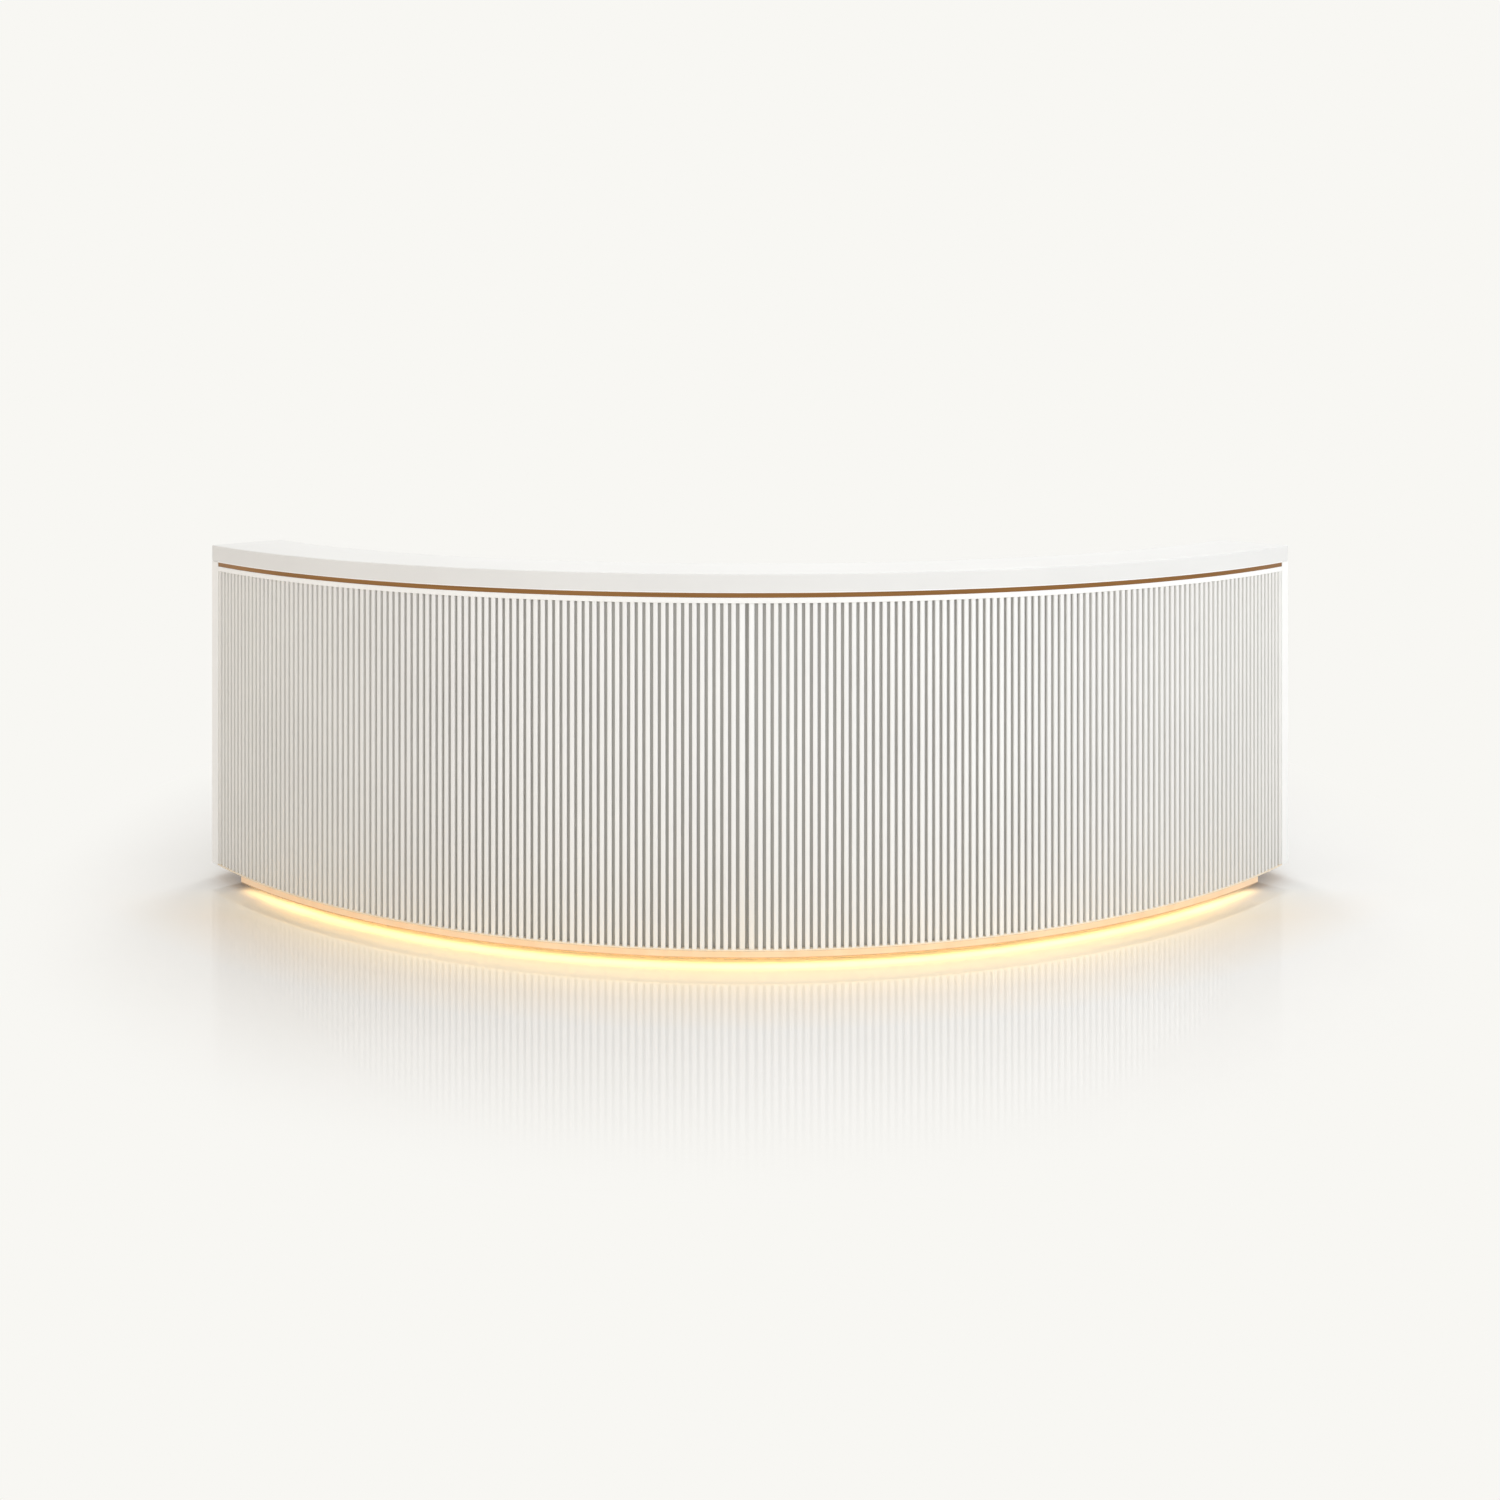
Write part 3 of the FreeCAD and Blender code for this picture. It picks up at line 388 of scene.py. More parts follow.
ribbed, given = grower("ribs_round_the_arc", {
    "Back sheet": "Geometry", "Ribs": "Int", "First turn": "Float", "Turn per rib": "Float", "Radius": "Float",
    "Crest": "Float", "Root": "Float", "Depth": "Float", "Shoulder": "Float", "Low": "Float", "High": "Float",
    "Arc centre": "Vector", "Lacquer": "Material"}, "Panel")
section = add(ribbed, "GeometryNodeCurvePrimitiveQuadrilateral", {
    "Bottom Width": given["Root"], "Top Width": given["Crest"], "Height": given["Depth"], "Offset": 0.0},
    mode="TRAPEZOID")
shoulders = add(ribbed, "GeometryNodeFilletCurve",
                {"Curve": section.outputs[0], "Radius": given["Shoulder"], "Count": 5, "Limit Radius": True},
                mode="POLY")
foot = add(ribbed, "ShaderNodeCombineXYZ", {"Z": given["Low"]})
head = add(ribbed, "ShaderNodeCombineXYZ", {"Z": given["High"]})
upright = add(ribbed, "GeometryNodeCurvePrimitiveLine", {"Start": foot.outputs[0], "End": head.outputs[0]})
rib = add(ribbed, "GeometryNodeCurveToMesh",
          {"Curve": upright.outputs[0], "Profile Curve": shoulders.outputs[0], "Fill Caps": True})
reach = add(ribbed, "ShaderNodeMath", {0: given["Radius"], 1: -1.0}, operation="MULTIPLY")
outward = add(ribbed, "ShaderNodeCombineXYZ", {"Y": reach.outputs[0]})
standing = add(ribbed, "GeometryNodeTransform", {"Geometry": rib.outputs[0], "Translation": outward.outputs[0]})
centres = add(ribbed, "GeometryNodePoints", {"Count": given["Ribs"], "Position": given["Arc centre"]})
number = add(ribbed, "GeometryNodeInputIndex")
turn = add(ribbed, "ShaderNodeMath", {0: number.outputs[0], 1: given["Turn per rib"], 2: given["First turn"]},
           operation="MULTIPLY_ADD")
about = add(ribbed, "ShaderNodeCombineXYZ", {"Z": turn.outputs[0]})
facing_out = add(ribbed, "FunctionNodeEulerToRotation", {"Euler": about.outputs[0]})
row = add(ribbed, "GeometryNodeInstanceOnPoints",
          {"Points": centres.outputs[0], "Instance": standing.outputs[0], "Rotation": facing_out.outputs[0]})
panel = add(ribbed, "GeometryNodeJoinGeometry", {"Geometry": [given["Back sheet"], row.outputs[0]]})
single = add(ribbed, "GeometryNodeRealizeInstances", {"Geometry": panel.outputs[0]})
coated = add(ribbed, "GeometryNodeSetMaterial", {"Geometry": single.outputs[0], "Material": given["Lacquer"]})
add(ribbed, "NodeGroupOutput", {"Panel": coated.outputs[0]})

panel_end = HALF_ARC - math.asin((END_PANEL + JOINT) / BACK)
last_groove = (SEAM_LAND + RIB_COUNT * PITCH + MOUTH / 2) / CREST
land = oblong(GROOVE - 2, CREST, RIBS_LOW, RIBS_HIGH)
for side, hand in HANDS:
    sheet = swept(f"fluted_panel_{hand}_ribs", [
        (oblong(BACK, GROOVE, RIBS_LOW, RIBS_HIGH), side * JOINT / CREST, side * panel_end, PANEL_STEPS),
        (land, side * MOUTH / 2 / CREST, side * (SEAM_LAND - MOUTH / 2) / CREST, 2),
        (land, side * last_groove, side * panel_end, 2)], rib_lacquer)
    ease(sheet, 1.5)
    grown(sheet, ribbed, {
        "Ribs": RIB_COUNT, "First turn": side * (SEAM_LAND + PITCH / 2) / CREST,
        "Turn per rib": side * PITCH / CREST, "Radius": (CREST - RIB_DEPTH / 2) * MM, "Crest": RIB_CREST * MM,
        "Root": RIB_ROOT * MM, "Depth": RIB_DEPTH * MM, "Shoulder": RIB_SHOULDER * MM, "Low": RIBS_LOW * MM,
        "High": RIBS_HIGH * MM, "Arc centre": ARC_CENTRE, "Lacquer": rib_lacquer})
    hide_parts(f"fluted_panel_{hand}")
    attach(sheet, "counter")

# Rails and inlay: lacquered rails close the ribs above and below, and a brushed bronze strip, let in under the
# ledge, runs from end to end. All three are bent and bonded to the formers.
INLAY_LOW, LEDGE_LOW, ARC_STEPS = 939.0, 952.0, 240
bronze = brushed("brushed_bronze_anodised", 0.3, "#87603A", "#A87B4C", 0.28, 0.42, 0.06)
for node, outer, low, high, finish, slot, round_off in (
        ("top_rail", FRONT, RIBS_HIGH, INLAY_LOW, lacquer, "white_lacquer", 1.2),
        # The bottom rail takes the warm copy of the lacquer: painted glow from the light rail below.
        ("bottom_rail", FRONT, BODY_LOW, RIBS_LOW, glow_tinted_lacquer, "white_lacquer", 1.2),
        ("bronze_inlay", FRONT - 1.5, INLAY_LOW, LEDGE_LOW, bronze, "bronze", 0.5)):
    strip = swept(f"{node}_strip", [(oblong(BACK, outer, low, high), -panel_end, panel_end, ARC_STEPS)], finish)
    ease(strip, round_off)
    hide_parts(node)
    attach(strip, "counter")

# End panels: lacquered fibreboard, full height under the ledge and stepped down to the worktop on the staff
# side with a large round. They are doweled to the deck and hide the ends of the cladding.
STAFF_EDGE, LEDGE_BACK, WORKTOP, STEP_ROUND = FRONT - DEPTH, FRONT - 220, 760.0, 80.0


def wrapped(name, rings, *materials, closed=False):
    """One piece wrapped round rings of points."""
    shape = bmesh.new()
    wrap(shape, rings, closed)
    return piece_of(name, shape, *materials)


step_curve = [(LEDGE_BACK - STEP_ROUND * (1 - math.cos(t)), WORKTOP + STEP_ROUND * (1 - math.sin(t)))
              for t in fan(90, 16)]
stepped = [(STAFF_EDGE, BODY_LOW), (FRONT, BODY_LOW), (FRONT, LEDGE_LOW), (LEDGE_BACK, LEDGE_LOW), *step_curve,
           (STAFF_EDGE, WORKTOP)]
for side, hand in HANDS:
    faces = [[at(side * HALF_ARC, out, up, shift) for out, up in stepped] for shift in (0, -side * END_PANEL)]
    end = ease(wrapped(f"end_panel_{hand}_board", faces, lacquer), 1.5)
    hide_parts(f"end_panel_{hand}")
    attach(end, "counter")

# Ledge: a thick slab of lacquered fibreboard on the wall and the end panels. Its two halves are bonded in place
# and the joint is filled and polished, so that it reads as one, with softly rounded edges.
LEDGE_TOP, LIP_DEEP, LIP_SET_BACK, LIP_DROP, LIP_LET_IN = 1000.0, 8.0, 0.1, 0.8, 2.6
slab = oblong(LEDGE_BACK, FRONT, LEDGE_LOW, LEDGE_TOP)
# The ledge takes the greyer copy of the lacquer, as painted shade.
ledge = ease(swept("ledge_slab", [(slab, -HALF_ARC, HALF_ARC, ARC_STEPS)], shaded_ledge_lacquer), 3, 4)
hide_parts("ledge_left", "ledge_right")
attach(ledge, "counter")
# A thin lip under its front edge, sprayed with the body, draws a white line above the bronze: a painted
# highlight along the ledge's lower edge.
edge = oblong(FRONT - LIP_DEEP, FRONT - LIP_SET_BACK, LEDGE_LOW - LIP_DROP, LEDGE_LOW + LIP_LET_IN)
highlight_lip = ease(swept("ledge_highlight_lip", [(edge, -panel_end, panel_end, ARC_STEPS)], lacquer), 0.5, 2)
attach(highlight_lip, "counter")

# Staff side: bent inner skins, decks, shelves and worktops of the plinth's white melamine-faced board. The
# skins are pinned to the studs, and the boards lie on battens.
paint(melamine, "deck_left", "deck_right", "shelf_left", "shelf_right", "worktop_left", "worktop_right")
WALL_BACK, SKIN, DECK_TOP = FRONT - 108, 8.0, 60.0
skin_end = HALF_ARC - math.asin((END_PANEL + JOINT) / WALL_BACK)
sheet = oblong(WALL_BACK, WALL_BACK + SKIN, DECK_TOP, LEDGE_LOW)
for side, hand in HANDS:
    skin = ease(swept(f"inner_skin_{hand}_sheet", [
        (sheet, side * JOINT / WALL_BACK, side * skin_end, PANEL_STEPS)], melamine), 0.6, 2)
    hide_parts(f"inner_skin_{hand}")
    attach(skin, "counter")

# Cable grommets: moulded sleeves of grey plastic with a rounded rim, pressed into round holes in the worktops,
# close to the wall. The rim is a closed profile of (radius, height), turned about the middle of the hole.
GROMMET_TURN, GROMMET_OUT = math.radians(13), LEDGE_BACK - 50
rim = [(25, 735), (30, 735), (30, 760), (36.2, 760), (37, 760.8), (36.8, 761.8), (35.6, 762.7), (33.6, 763),
       (27.2, 763), (25.9, 762.6), (25.2, 761.8)]
for side, hand in HANDS:
    middle = at(side * GROMMET_TURN, GROMMET_OUT, 0)
    rings = [[middle + Vector((radius * math.cos(t), radius * math.sin(t), up)) * MM for radius, up in rim]
             for t in fan(360, 72)[:-1]]
    grommet = wrapped(f"cable_grommet_{hand}", rings, grey_plastic, closed=True)
    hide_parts("cable_grommets")
    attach(grommet, "counter")

# Middle uprights: two melamine-faced boards that meet at the joint of the halves and are bolted together. Their
# edges, like those of the drawers and the cupboard, have a bonded band.
DECK_INNER, WORKTOP_LOW, BOARD = STAFF_EDGE + 40, 735.0, 18.0


def boards(name, turn, rows, *materials):
    """Straight boards in the frame of one radius, each (left, width, inner, depth, low, height) in mm.
    UVs run along the grain, in metres, and an attribute marks the faces that show the boards' edges."""
    shape = bmesh.new()
    uv = shape.loops.layers.uv.verify()
    edge = shape.faces.layers.float.new("edge")
    for left, width, inner, depth, low, height in rows:
        start, size = (left, inner, low), (width, depth, height)
        grain, thin = size.index(max(size)), size.index(min(size))
        corners = {}
        for key in itertools.product((0, 1), repeat=3):
            across, out, up = (first + far * long for first, far, long in zip(start, key, size))
            corners[key] = shape.verts.new(at(turn, out, up, across))
        for axis, level in itertools.product(range(3), (0, 1)):
            keys = [(a, b)[:axis] + (level,) + (a, b)[axis:] for a, b in ((0, 0), (1, 0), (1, 1), (0, 1))]
            face = shape.faces.new([corners[key] for key in keys])
            face[edge] = float(axis != thin)
            rest = [other for other in range(3) if other != axis]
            run = grain if grain in rest else rest[0]
            cross = sum(rest) - run
            for loop, key in zip(face.loops, keys):
                loop[uv].uv = ((start[run] + key[run] * size[run]) * MM, key[cross] * size[cross] * MM)
    return piece_of(name, shape, *materials)


# The edge band is solid plastic, a shade darker than the melamine, so that a fine line outlines each board. It
# has faint scuffs 40 mm long.
edge_band, tree, shader = coating("edge_band", IOR=1.5)
spot = add(tree, "ShaderNodeTexCoord").outputs["Object"]
scuffs = add(tree, "ShaderNodeTexNoise", {"Vector": spot, "Scale": 1 / 0.04, "Detail": 5.0}).outputs["Fac"]
pale = add(tree, "ShaderNodeValToRGB", {"Fac": scuffs}, [(0.3, "#CFCDC8"), (0.7, "#D9D8D4")]).outputs["Color"]
worked(tree, shader, pale, (scuffs, 0.35, 0.55))

for side, hand in HANDS:
    partition = ease(boards(f"centre_partition_{hand}_board", 0, [
        (JOINT if side > 0 else -BOARD - JOINT, BOARD, DECK_INNER, WALL_BACK - 2 * JOINT - DECK_INNER,
         DECK_TOP, WORKTOP_LOW - DECK_TOP)], melamine, edge_band), 1, 2, band=1)
    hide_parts(f"centre_partition_{hand}")
    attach(partition, "counter")

# Cap bolts and screws: round zinc-plated heads with a hexagon socket, set where the real ones hold the boards
# together. One tree makes the head and stands it on each point, square to the face that it is driven into.
BOLT_IN, BOLT_HEIGHTS = 60.0, (155, 640)
# Zinc-plated steel of bolts, runners and hinges: bright, with a faint blue-grey spangle 6 mm across.
zinc, tree, shader = coating("zinc_plated_steel", Metallic=1.0)
spot = add(tree, "ShaderNodeTexCoord").outputs["Object"]
spangle = add(tree, "ShaderNodeTexVoronoi", {"Vector": spot, "Scale": 1 / 0.006}).outputs["Distance"]
steel = add(tree, "ShaderNodeValToRGB", {"Fac": spangle}, [(0.1, "#A9ADB2"), (0.8, "#C3C6C9")]).outputs["Color"]
worked(tree, shader, steel, (spangle, 0.24, 0.4))
paint(zinc, "runner_channels", "pivot_hinges", "drawer_top_rails", "drawer_middle_rails", "drawer_bottom_rails")

headed, given = grower("screw_heads", {
    "Places": "Geometry", "Head radius": "Float", "Head height": "Float", "Steel": "Material"}, "Heads")
disc = add(headed, "GeometryNodeMeshCircle", {"Vertices": 24, "Radius": given["Head radius"]}, fill_type="NGON")
rise = add(headed, "ShaderNodeCombineXYZ", {"Z": given["Head height"]})
flank = add(headed, "GeometryNodeExtrudeMesh",
            {"Mesh": disc.outputs[0], "Offset": rise.outputs[0], "Offset Scale": 1.0})
dome = add(headed, "GeometryNodeScaleElements",
           {"Geometry": flank.outputs["Mesh"], "Selection": flank.outputs["Top"], "Scale": 0.8})
brim = add(headed, "GeometryNodeExtrudeMesh",
           {"Mesh": dome.outputs[0], "Selection": flank.outputs["Top"], "Offset Scale": 0.0})
socket = add(headed, "GeometryNodeScaleElements",
             {"Geometry": brim.outputs["Mesh"], "Selection": brim.outputs["Top"], "Scale": 0.55})
sink = add(headed, "ShaderNodeVectorMath", {0: rise.outputs[0], "Scale": -0.7}, operation="SCALE")
drive = add(headed, "GeometryNodeExtrudeMesh", {
    "Mesh": socket.outputs[0], "Selection": brim.outputs["Top"], "Offset": sink.outputs[0],
    "Offset Scale": 1.0})
way = add(headed, "GeometryNodeInputNamedAttribute", {"Name": "driven"}, data_type="FLOAT_VECTOR")
stand = add(headed, "FunctionNodeAlignRotationToVector", {"Vector": way.outputs[0]}, axis="Z")
heads = add(headed, "GeometryNodeInstanceOnPoints",
            {"Points": given["Places"], "Instance": drive.outputs["Mesh"], "Rotation": stand.outputs[0]})
single = add(headed, "GeometryNodeRealizeInstances", {"Geometry": heads.outputs[0]})
plated = add(headed, "GeometryNodeSetMaterial", {"Geometry": single.outputs[0], "Material": given["Steel"]})
add(headed, "NodeGroupOutput", {"Heads": plated.outputs[0]})


def screws(name, body, turn, places, radius, height):
    """Zinc-plated heads in the frame of one radius, each at (across, out, up) in mm and facing to the left (-1)
    or to the right (1) of that radius."""
    shape = bmesh.new()
    driven = shape.verts.layers.float_vector.new("driven")
    for (across, out, up), side in places:
        head = shape.verts.new(at(turn, out, up, across))
        head[driven] = Matrix.Rotation(turn, 3, "Z") @ Vector((side, 0, 0))
    made = piece_of(name, shape, zinc)
    grown(made, headed, {"Head radius": radius * MM, "Head height": height * MM, "Steel": zinc})
    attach(made, body)


screws("joint_bolt_heads", "counter", 0,
       [((side * (BOARD + JOINT), out, up), side) for side in (-1, 1)
        for out in (DECK_INNER + BOLT_IN, WALL_BACK - BOLT_IN) for up in BOLT_HEIGHTS], radius=8, height=3)

# Drawer bank: two uprights, and three drawers with melamine fronts and glued birch plywood boxes, which run on
# side-mounted steel runners. Each front has a square bronze bar handle.
FRONT_FACE = DECK_INNER + 2
FRONT_BACK = FRONT_FACE + BOARD
SIDE_FRONT = FRONT_BACK + 1
HALF_BANK, SCRIBE, FRONT_GAP = 245.0, 16.0, 1.5
BANK_TURN = HALF_ARC - math.atan(HALF_BANK / SIDE_FRONT) - math.asin(
    (END_PANEL + SCRIBE) / math.hypot(SIDE_FRONT, HALF_BANK))
SIDE_BACK = math.sqrt((WALL_BACK - JOINT) ** 2 - HALF_BANK ** 2) - JOINT
RUNNER, BOX_SIDE, BOX_BOTTOM, BOX_DEPTH, BOX_UP, BOX_LOWER = 13.0, 12.0, 6.0, 420.0, 25.0, 60.0
BOX_SCREWS = (40, 200, 360)
BAR_LONG, BAR, BAR_STAND, BAR_POST, BAR_DOWN = 160.0, 10.0, 28.0, 75.0, 40.0

# Lacquered birch plywood of the boxes: on a board's face the grain runs lengthwise, 35 mm wide, and on its
# edges the plies show, each 1.5 mm thick. A dark and a pale ply are one wave, which is pi / 10 long at scale 1.
box_ply, tree, shader = coating("birch_plywood_box", IOR=1.5)
uv = add(tree, "ShaderNodeTexCoord").outputs["UV"]
stretched = add(tree, "ShaderNodeMapping", {"Vector": uv, "Scale": (1 / 0.5, 1 / 0.035, 1)}).outputs[0]
grain = add(tree, "ShaderNodeTexNoise",
            {"Vector": stretched, "Scale": 1.0, "Detail": 7.0, "Distortion": 0.8}).outputs["Fac"]
face_colour = add(tree, "ShaderNodeValToRGB", {"Fac": grain},
                  [(0.3, "#C29C68"), (0.5, "#D9B988"), (0.72, "#E5CB9F")]).outputs["Color"]
layered = add(tree, "ShaderNodeMapping", {"Vector": uv, "Scale": (1 / 0.2, 1, 1)}).outputs[0]
plies = add(tree, "ShaderNodeTexWave",
            {"Vector": layered, "Scale": math.pi / 10 / 0.003, "Distortion": 0.4},
            bands_direction="Y").outputs["Fac"]
edge_colour = add(tree, "ShaderNodeValToRGB", {"Fac": plies},
                  [(0.2, "#8F6A3F"), (0.8, "#D8B686")]).outputs["Color"]
mark = add(tree, "ShaderNodeAttribute", attribute_name="edge").outputs["Fac"]
wood = add(tree, "ShaderNodeMix", {"Factor": mark, "A": face_colour, "B": edge_colour}, data_type="RGBA")
worked(tree, shader, wood.outputs["Result"], (grain, 0.38, 0.52), (grain, 0.1, 0.0003))


def handle(name, turn, across, middle, upright, node, body):
    """A square bronze bar on two posts, with eased corners."""
    out = FRONT_FACE - BAR_STAND
    width, height = (BAR, BAR_LONG) if upright else (BAR_LONG, BAR)
    rows = [(across - width / 2, width, out, BAR, middle - height / 2, height)]
    for shift in (-BAR_POST, BAR_POST):
        a, z = (across, middle + shift) if upright else (across + shift, middle)
        rows.append((a - BAR / 2, BAR, out + BAR - 1, BAR_STAND - BAR + 1, z - BAR / 2, BAR))
    bar = ease(boards(name, turn, rows, bronze), 1.5)
    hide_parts(node)
    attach(bar, body)


def unit_sides(name, turn, node):
    """The two uprights of a unit, from the deck to the worktop, and the scribe strip that closes the wedge
    between the unit and the end panel."""
    depth, height = SIDE_BACK - SIDE_FRONT, WORKTOP_LOW - DECK_TOP
    rows = [(left, BOARD, SIDE_FRONT, depth, DECK_TOP, height) for left in (-HALF_BANK, HALF_BANK - BOARD)]
    rows.append((HALF_BANK if turn > 0 else -HALF_BANK - SCRIBE, SCRIBE, SIDE_FRONT, BOARD, DECK_TOP, height))
    sides = ease(boards(name, turn, rows, melamine, edge_band), 1, 2, band=1)
    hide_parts(node)
    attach(sides, "counter")


unit_sides("drawer_bank_uprights", -BANK_TURN, "drawer_bank_sides")
front_half = HALF_BANK - FRONT_GAP
box_half = HALF_BANK - BOARD - RUNNER
inside = box_half - BOX_SIDE
for drawer in ("bottom", "middle", "top"):
    body = f"drawer_{drawer}"
    low, high = (corner[2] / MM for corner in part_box(f"{body}_front"))
    front = ease(boards(f"{body}_panel", -BANK_TURN, [
        (-front_half, 2 * front_half, FRONT_FACE, BOARD, low, high - low)], melamine, edge_band), 1.2, band=1)
    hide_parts(f"{body}_front")
    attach(front, body)
    base, wall = low + BOX_UP, high - low - BOX_LOWER
    box = ease(boards(f"{body}_plywood", -BANK_TURN, [
        (-box_half, BOX_SIDE, FRONT_BACK, BOX_DEPTH, base, wall),
        (inside, BOX_SIDE, FRONT_BACK, BOX_DEPTH, base, wall),
        (-inside, 2 * inside, FRONT_BACK + BOX_DEPTH - BOX_SIDE, BOX_SIDE, base, wall),
        (-inside, 2 * inside, FRONT_BACK, BOX_DEPTH - BOX_SIDE, base, BOX_BOTTOM)], box_ply), 0.8, 2)
    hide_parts(f"{body}_box")
    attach(box, body)
    handle(f"{body}_bar", -BANK_TURN, 0, high - BAR_DOWN, False, f"{body}_handle", body)
    screws(f"{body}_box_screws", body, -BANK_TURN,
           [((side * inside, FRONT_BACK + back, base + wall / 2), -side)
            for side in (-1, 1) for back in BOX_SCREWS], radius=4, height=1.2)

# Cupboard: two uprights and a shelf, closed by two melamine doors with round hinge edges, which turn on pivots
# let into the deck and the worktop. The doors have the same bronze bars, set upright.
SHELF_BACK, DOOR_GAP, DOOR_BAR_IN, DOOR_BAR_MIDDLE = 40.0, 3.0, 40.0, 612.0
unit_sides("cupboard_uprights", BANK_TURN, "cupboard_sides")
shelf_half = HALF_BANK - BOARD - JOINT
cupboard_shelf = ease(boards("cupboard_shelf_board", BANK_TURN, [
    (-shelf_half, 2 * shelf_half, SIDE_FRONT + SHELF_BACK, SIDE_BACK - SIDE_FRONT - 2 * SHELF_BACK,
     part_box("cupboard_shelf")[0][2] / MM, BOARD)], melamine, edge_band), 1, 2, band=1)
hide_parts("cupboard_shelf")
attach(cupboard_shelf, "counter")
half = BOARD / 2
pivot = HALF_BANK - FRONT_GAP - half
hinge_edge = [(pivot + half * math.sin(t), FRONT_FACE + half - half * math.cos(t)) for t in fan(180, 20)]
plan = [(FRONT_GAP, FRONT_FACE), *hinge_edge, (FRONT_GAP, FRONT_BACK)]
for side, hand in HANDS:
    body = f"door_{hand}"
    rings = [[at(BANK_TURN, out, up, side * across) for across, out in plan]
             for up in (DECK_TOP + DOOR_GAP, WORKTOP_LOW - DOOR_GAP)]
    leaf = ease(wrapped(f"{body}_leaf", rings, melamine, edge_band), 1.2, band=1)
    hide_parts(body)
    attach(leaf, body)
    handle(f"{body}_bar", BANK_TURN, side * DOOR_BAR_IN, DOOR_BAR_MIDDLE, True, f"{body}_handle", body)

# Floor: a polished pale screed in a plain room, which mirrors the front faintly. Ahead of the rail it has a
# painted warm glow and a painted haze of light, and close under the body a painted shadow. Far from the counter
# it takes on the background's own shade.
BACKGROUND, FLOOR_REACH = "#F8F7F3", 40.0


def seen(tree):
    """1 where a ray comes from the camera, straight, mirrored or through glass, and otherwise 0."""
    path = add(tree, "ShaderNodeLightPath").outputs
    direct = add(tree, "ShaderNodeMath", {0: path["Is Camera Ray"], 1: path["Is Glossy Ray"]},
                 operation="MAXIMUM").outputs[0]
    return add(tree, "ShaderNodeMath", {0: direct, 1: path["Is Transmission Ray"]},
               operation="MAXIMUM").outputs[0]


screed, tree, shader = coating("polished_pale_screed", IOR=1.7)
spot = add(tree, "ShaderNodeTexCoord").outputs["Object"]
axes = add(tree, "ShaderNodeSeparateXYZ", {"Vector": spot}).outputs
radius = from_axis(tree, spot)
ahead = add(tree, "ShaderNodeMapRange", {"Value": radius, "From Min": 2.15, "From Max": 2.65}).outputs[0]
# The screed's own colour, clouded over 600 mm, with a painted warm glow ahead of the rail and a painted shadow
# under the body.
cloud = add(tree, "ShaderNodeTexNoise", {"Vector": spot, "Scale": 1 / 0.6, "Detail": 4.0}).outputs["Fac"]
polish = add(tree, "ShaderNodeValToRGB", {"Fac": cloud}, [(0.3, "#EEEDEA"), (0.7, "#F1F0EE")]).outputs["Color"]
# Painted glow: the floor's colour is tinted warm ahead of the rail.
painted_glow_tint = add(tree, "ShaderNodeValToRGB", {"Fac": ahead}, [
    (0.0, "#FFFFFF"), (0.2, "#FFF6E2"), (0.36, "#FFF2DA"), (0.6, "#FFF5E8"), (1.0, "#FFFFFF")]).outputs["Color"]
in_front = add(tree, "ShaderNodeMapRange", {"Value": axes["Y"], "From Min": 0.0, "From Max": -0.22}).outputs[0]
painted_glow_colour = add(tree, "ShaderNodeMix", {"Factor": in_front, "A": polish, "B": painted_glow_tint}, data_type="RGBA",
             blend_type="MULTIPLY")
# Painted shadow: ambient occlusion darkens the floor's colour close under the body.
under = add(tree, "ShaderNodeAmbientOcclusion", {"Distance": 0.12}, samples=8).outputs["AO"]
painted_contact_shadow = add(tree, "ShaderNodeValToRGB", {"Fac": under},
              [(0.0, "#AA9686"), (0.4, "#DCD0C6"), (0.8, "#FFFFFF")]).outputs["Color"]
behind = add(tree, "ShaderNodeMapRange", {"Value": axes["Y"], "From Min": -0.03, "From Max": 0.03}).outputs[0]
colour_with_painted_light = add(tree, "ShaderNodeMix", {"Factor": behind, "A": painted_glow_colour.outputs["Result"], "B": painted_contact_shadow},
               data_type="RGBA", blend_type="MULTIPLY")
worked(tree, shader, colour_with_painted_light.outputs["Result"], (cloud, 0.0, 0.015))
# The painted haze, light that the floor gives off itself, follows the rail and fades round the arc towards its
# ends.
painted_haze = add(tree, "ShaderNodeValToRGB", {"Fac": ahead}, [
    (0.0, "#000000"), (0.3, "#4A4630"), (0.38, "#78745E"), (0.46, "#807860"), (0.52, "#686048"),
    (0.7, "#3C362A"), (1.0, "#000000")]).outputs["Color"]
tree.links.new(painted_haze, shader.inputs["Emission Color"])
aside = add(tree, "ShaderNodeMath", {0: axes["X"]}, operation="ABSOLUTE").outputs[0]
sideways = add(tree, "ShaderNodeMath", {0: aside, 1: radius}, operation="DIVIDE").outputs[0]
alongside = add(tree, "ShaderNodeMapRange", {"Value": sideways, "From Min": 0.72, "From Max": 0.36}).outputs[0]
before = add(tree, "ShaderNodeMapRange", {"Value": axes["Y"], "From Min": 0.02, "From Max": -0.03}).outputs[0]
# Painted light: how strongly the floor's painted haze glows.
strength = add(tree, "ShaderNodeMath", {0: alongside, 1: before}, operation="MULTIPLY").outputs[0]
tree.links.new(strength, shader.inputs["Emission Strength"])
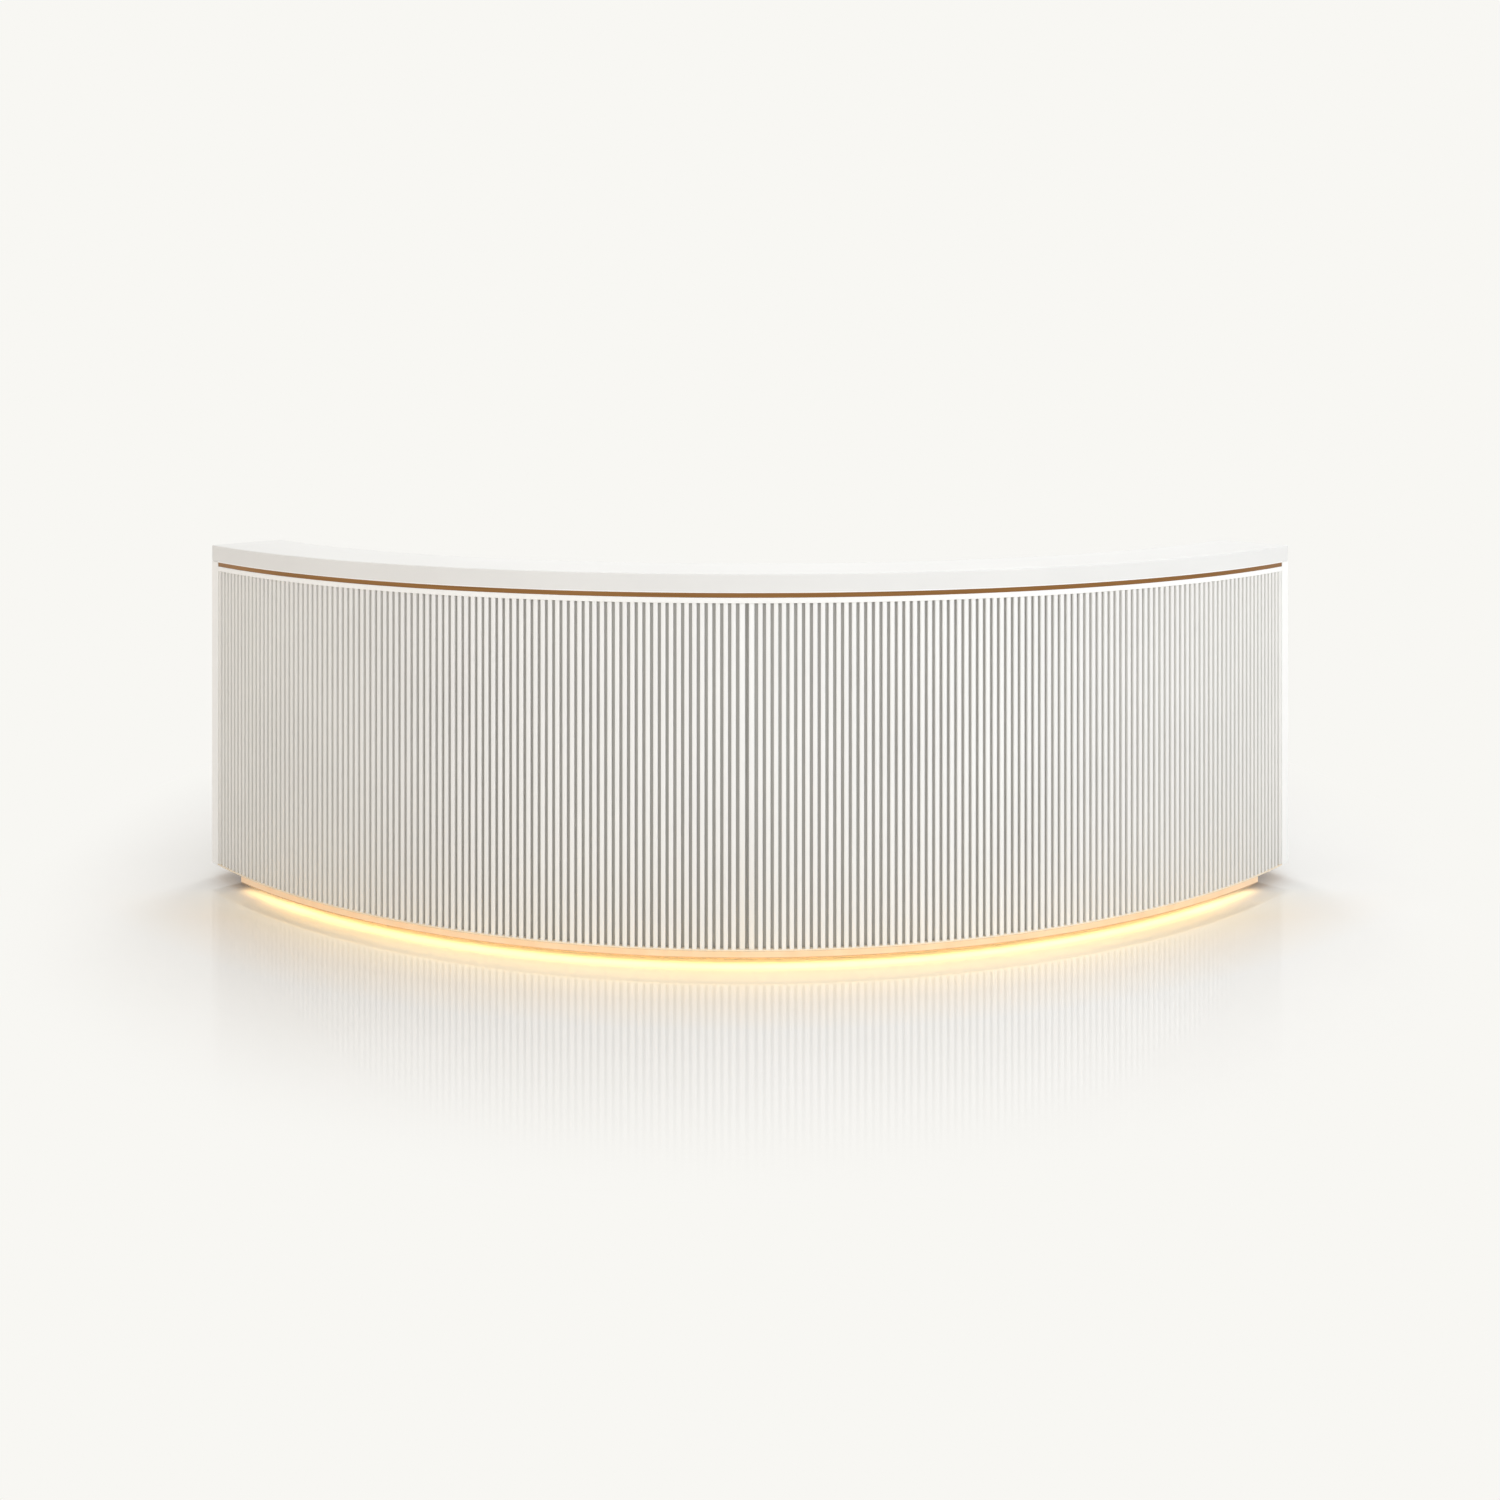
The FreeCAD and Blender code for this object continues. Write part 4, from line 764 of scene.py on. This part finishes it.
# The floor turns into the background beyond an ellipse round the counter.
plain = add(tree, "ShaderNodeEmission", {"Color": linear(BACKGROUND), "Strength": 1.0})
squeezed = add(tree, "ShaderNodeMapping",
               {"Vector": spot, "Location": (0, -0.48, 0), "Scale": (1 / 1.3, 1 / 1.25, 0)}).outputs[0]
distance = add(tree, "ShaderNodeVectorMath", {0: squeezed}, operation="LENGTH").outputs["Value"]
fade = add(tree, "ShaderNodeMapRange", {"Value": distance, "From Min": 1.25, "From Max": 1.75},
           interpolation_type="SMOOTHSTEP").outputs[0]
share = add(tree, "ShaderNodeMath", {0: fade, 1: seen(tree)}, operation="MULTIPLY").outputs[0]
ground = add(tree, "ShaderNodeMixShader", {0: share, 1: shader.outputs[0], 2: plain.outputs[0]})
tree.links.new(ground.outputs[0], tree.nodes["Material Output"].inputs["Surface"])
shape = bmesh.new()
corners = (-1, -1), (1, -1), (1, 1), (-1, 1)
shape.faces.new([shape.verts.new((FLOOR_REACH * x, FLOOR_REACH * y, 0)) for x, y in corners])
floor = piece_of("floor", shape, screed)

# Soft studio light: an even pale room, a broad key from the front right, a weaker warm fill from the left, and
# lamps from the front, from above and on the staff side.
scene = bpy.context.scene
scene.view_settings.view_transform = "Standard"
world = bpy.data.worlds.new("pale_room")
scene.world = world
world.use_nodes = True
world.node_tree.nodes.clear()
tree = world.node_tree
room = add(tree, "ShaderNodeBackground", {"Color": linear("#FFFFFF"), "Strength": 0.5})
backdrop = add(tree, "ShaderNodeBackground", {"Color": linear(BACKGROUND), "Strength": 1.0})
either = add(tree, "ShaderNodeMixShader", {0: seen(tree), 1: room.outputs[0], 2: backdrop.outputs[0]})
add(tree, "ShaderNodeOutputWorld", {"Surface": either.outputs[0]})
for name, place, target, size, power, colour in (
        ("key", (4.2, -2.6, 3.0), (0.6, 0, 0.5), 2.6, 84, "#FBFCFF"),
        ("fill", (-4.2, -2.6, 2.4), (-0.6, 0, 0.5), 2.6, 30, "#FFE6CC"),
        ("front", (0.0, -5.0, 2.5), (0, 0, 0.5), 2.6, 56, "#FFFFFF"),
        ("overhead", (0.0, -0.2, 4.6), (0, -0.2, 0), 3.0, 44, "#FFFFFF"),
        ("staff_side", (0.0, 3.6, 3.4), (0, 0.3, 0.5), 2.6, 66, "#FFFFFF")):
    lamp = bpy.data.lights.new(name, "AREA")
    lamp.size = size
    lamp.energy = power
    lamp.color = linear(colour)[:3]
    holder = bpy.data.objects.new(name, lamp)
    holder.location = place
    holder.rotation_euler = (Vector(target) - Vector(place)).to_track_quat("-Z", "Y").to_euler()
    holder.visible_glossy = False
    scene.collection.objects.link(holder)

# Camera: level, a little right of the middle at standing height, with the frame shifted down to the counter.
view = bpy.data.cameras.new("photograph")
view.sensor_width = 36
view.lens = 33.3
view.shift_x = -0.0111
view.shift_y = -0.237
eye = bpy.data.objects.new("photograph", view)
eye.location = (0.050, -4.086, 1.455)
eye.rotation_euler = (math.radians(90), 0, 0)
scene.collection.objects.link(eye)
scene.camera = eye
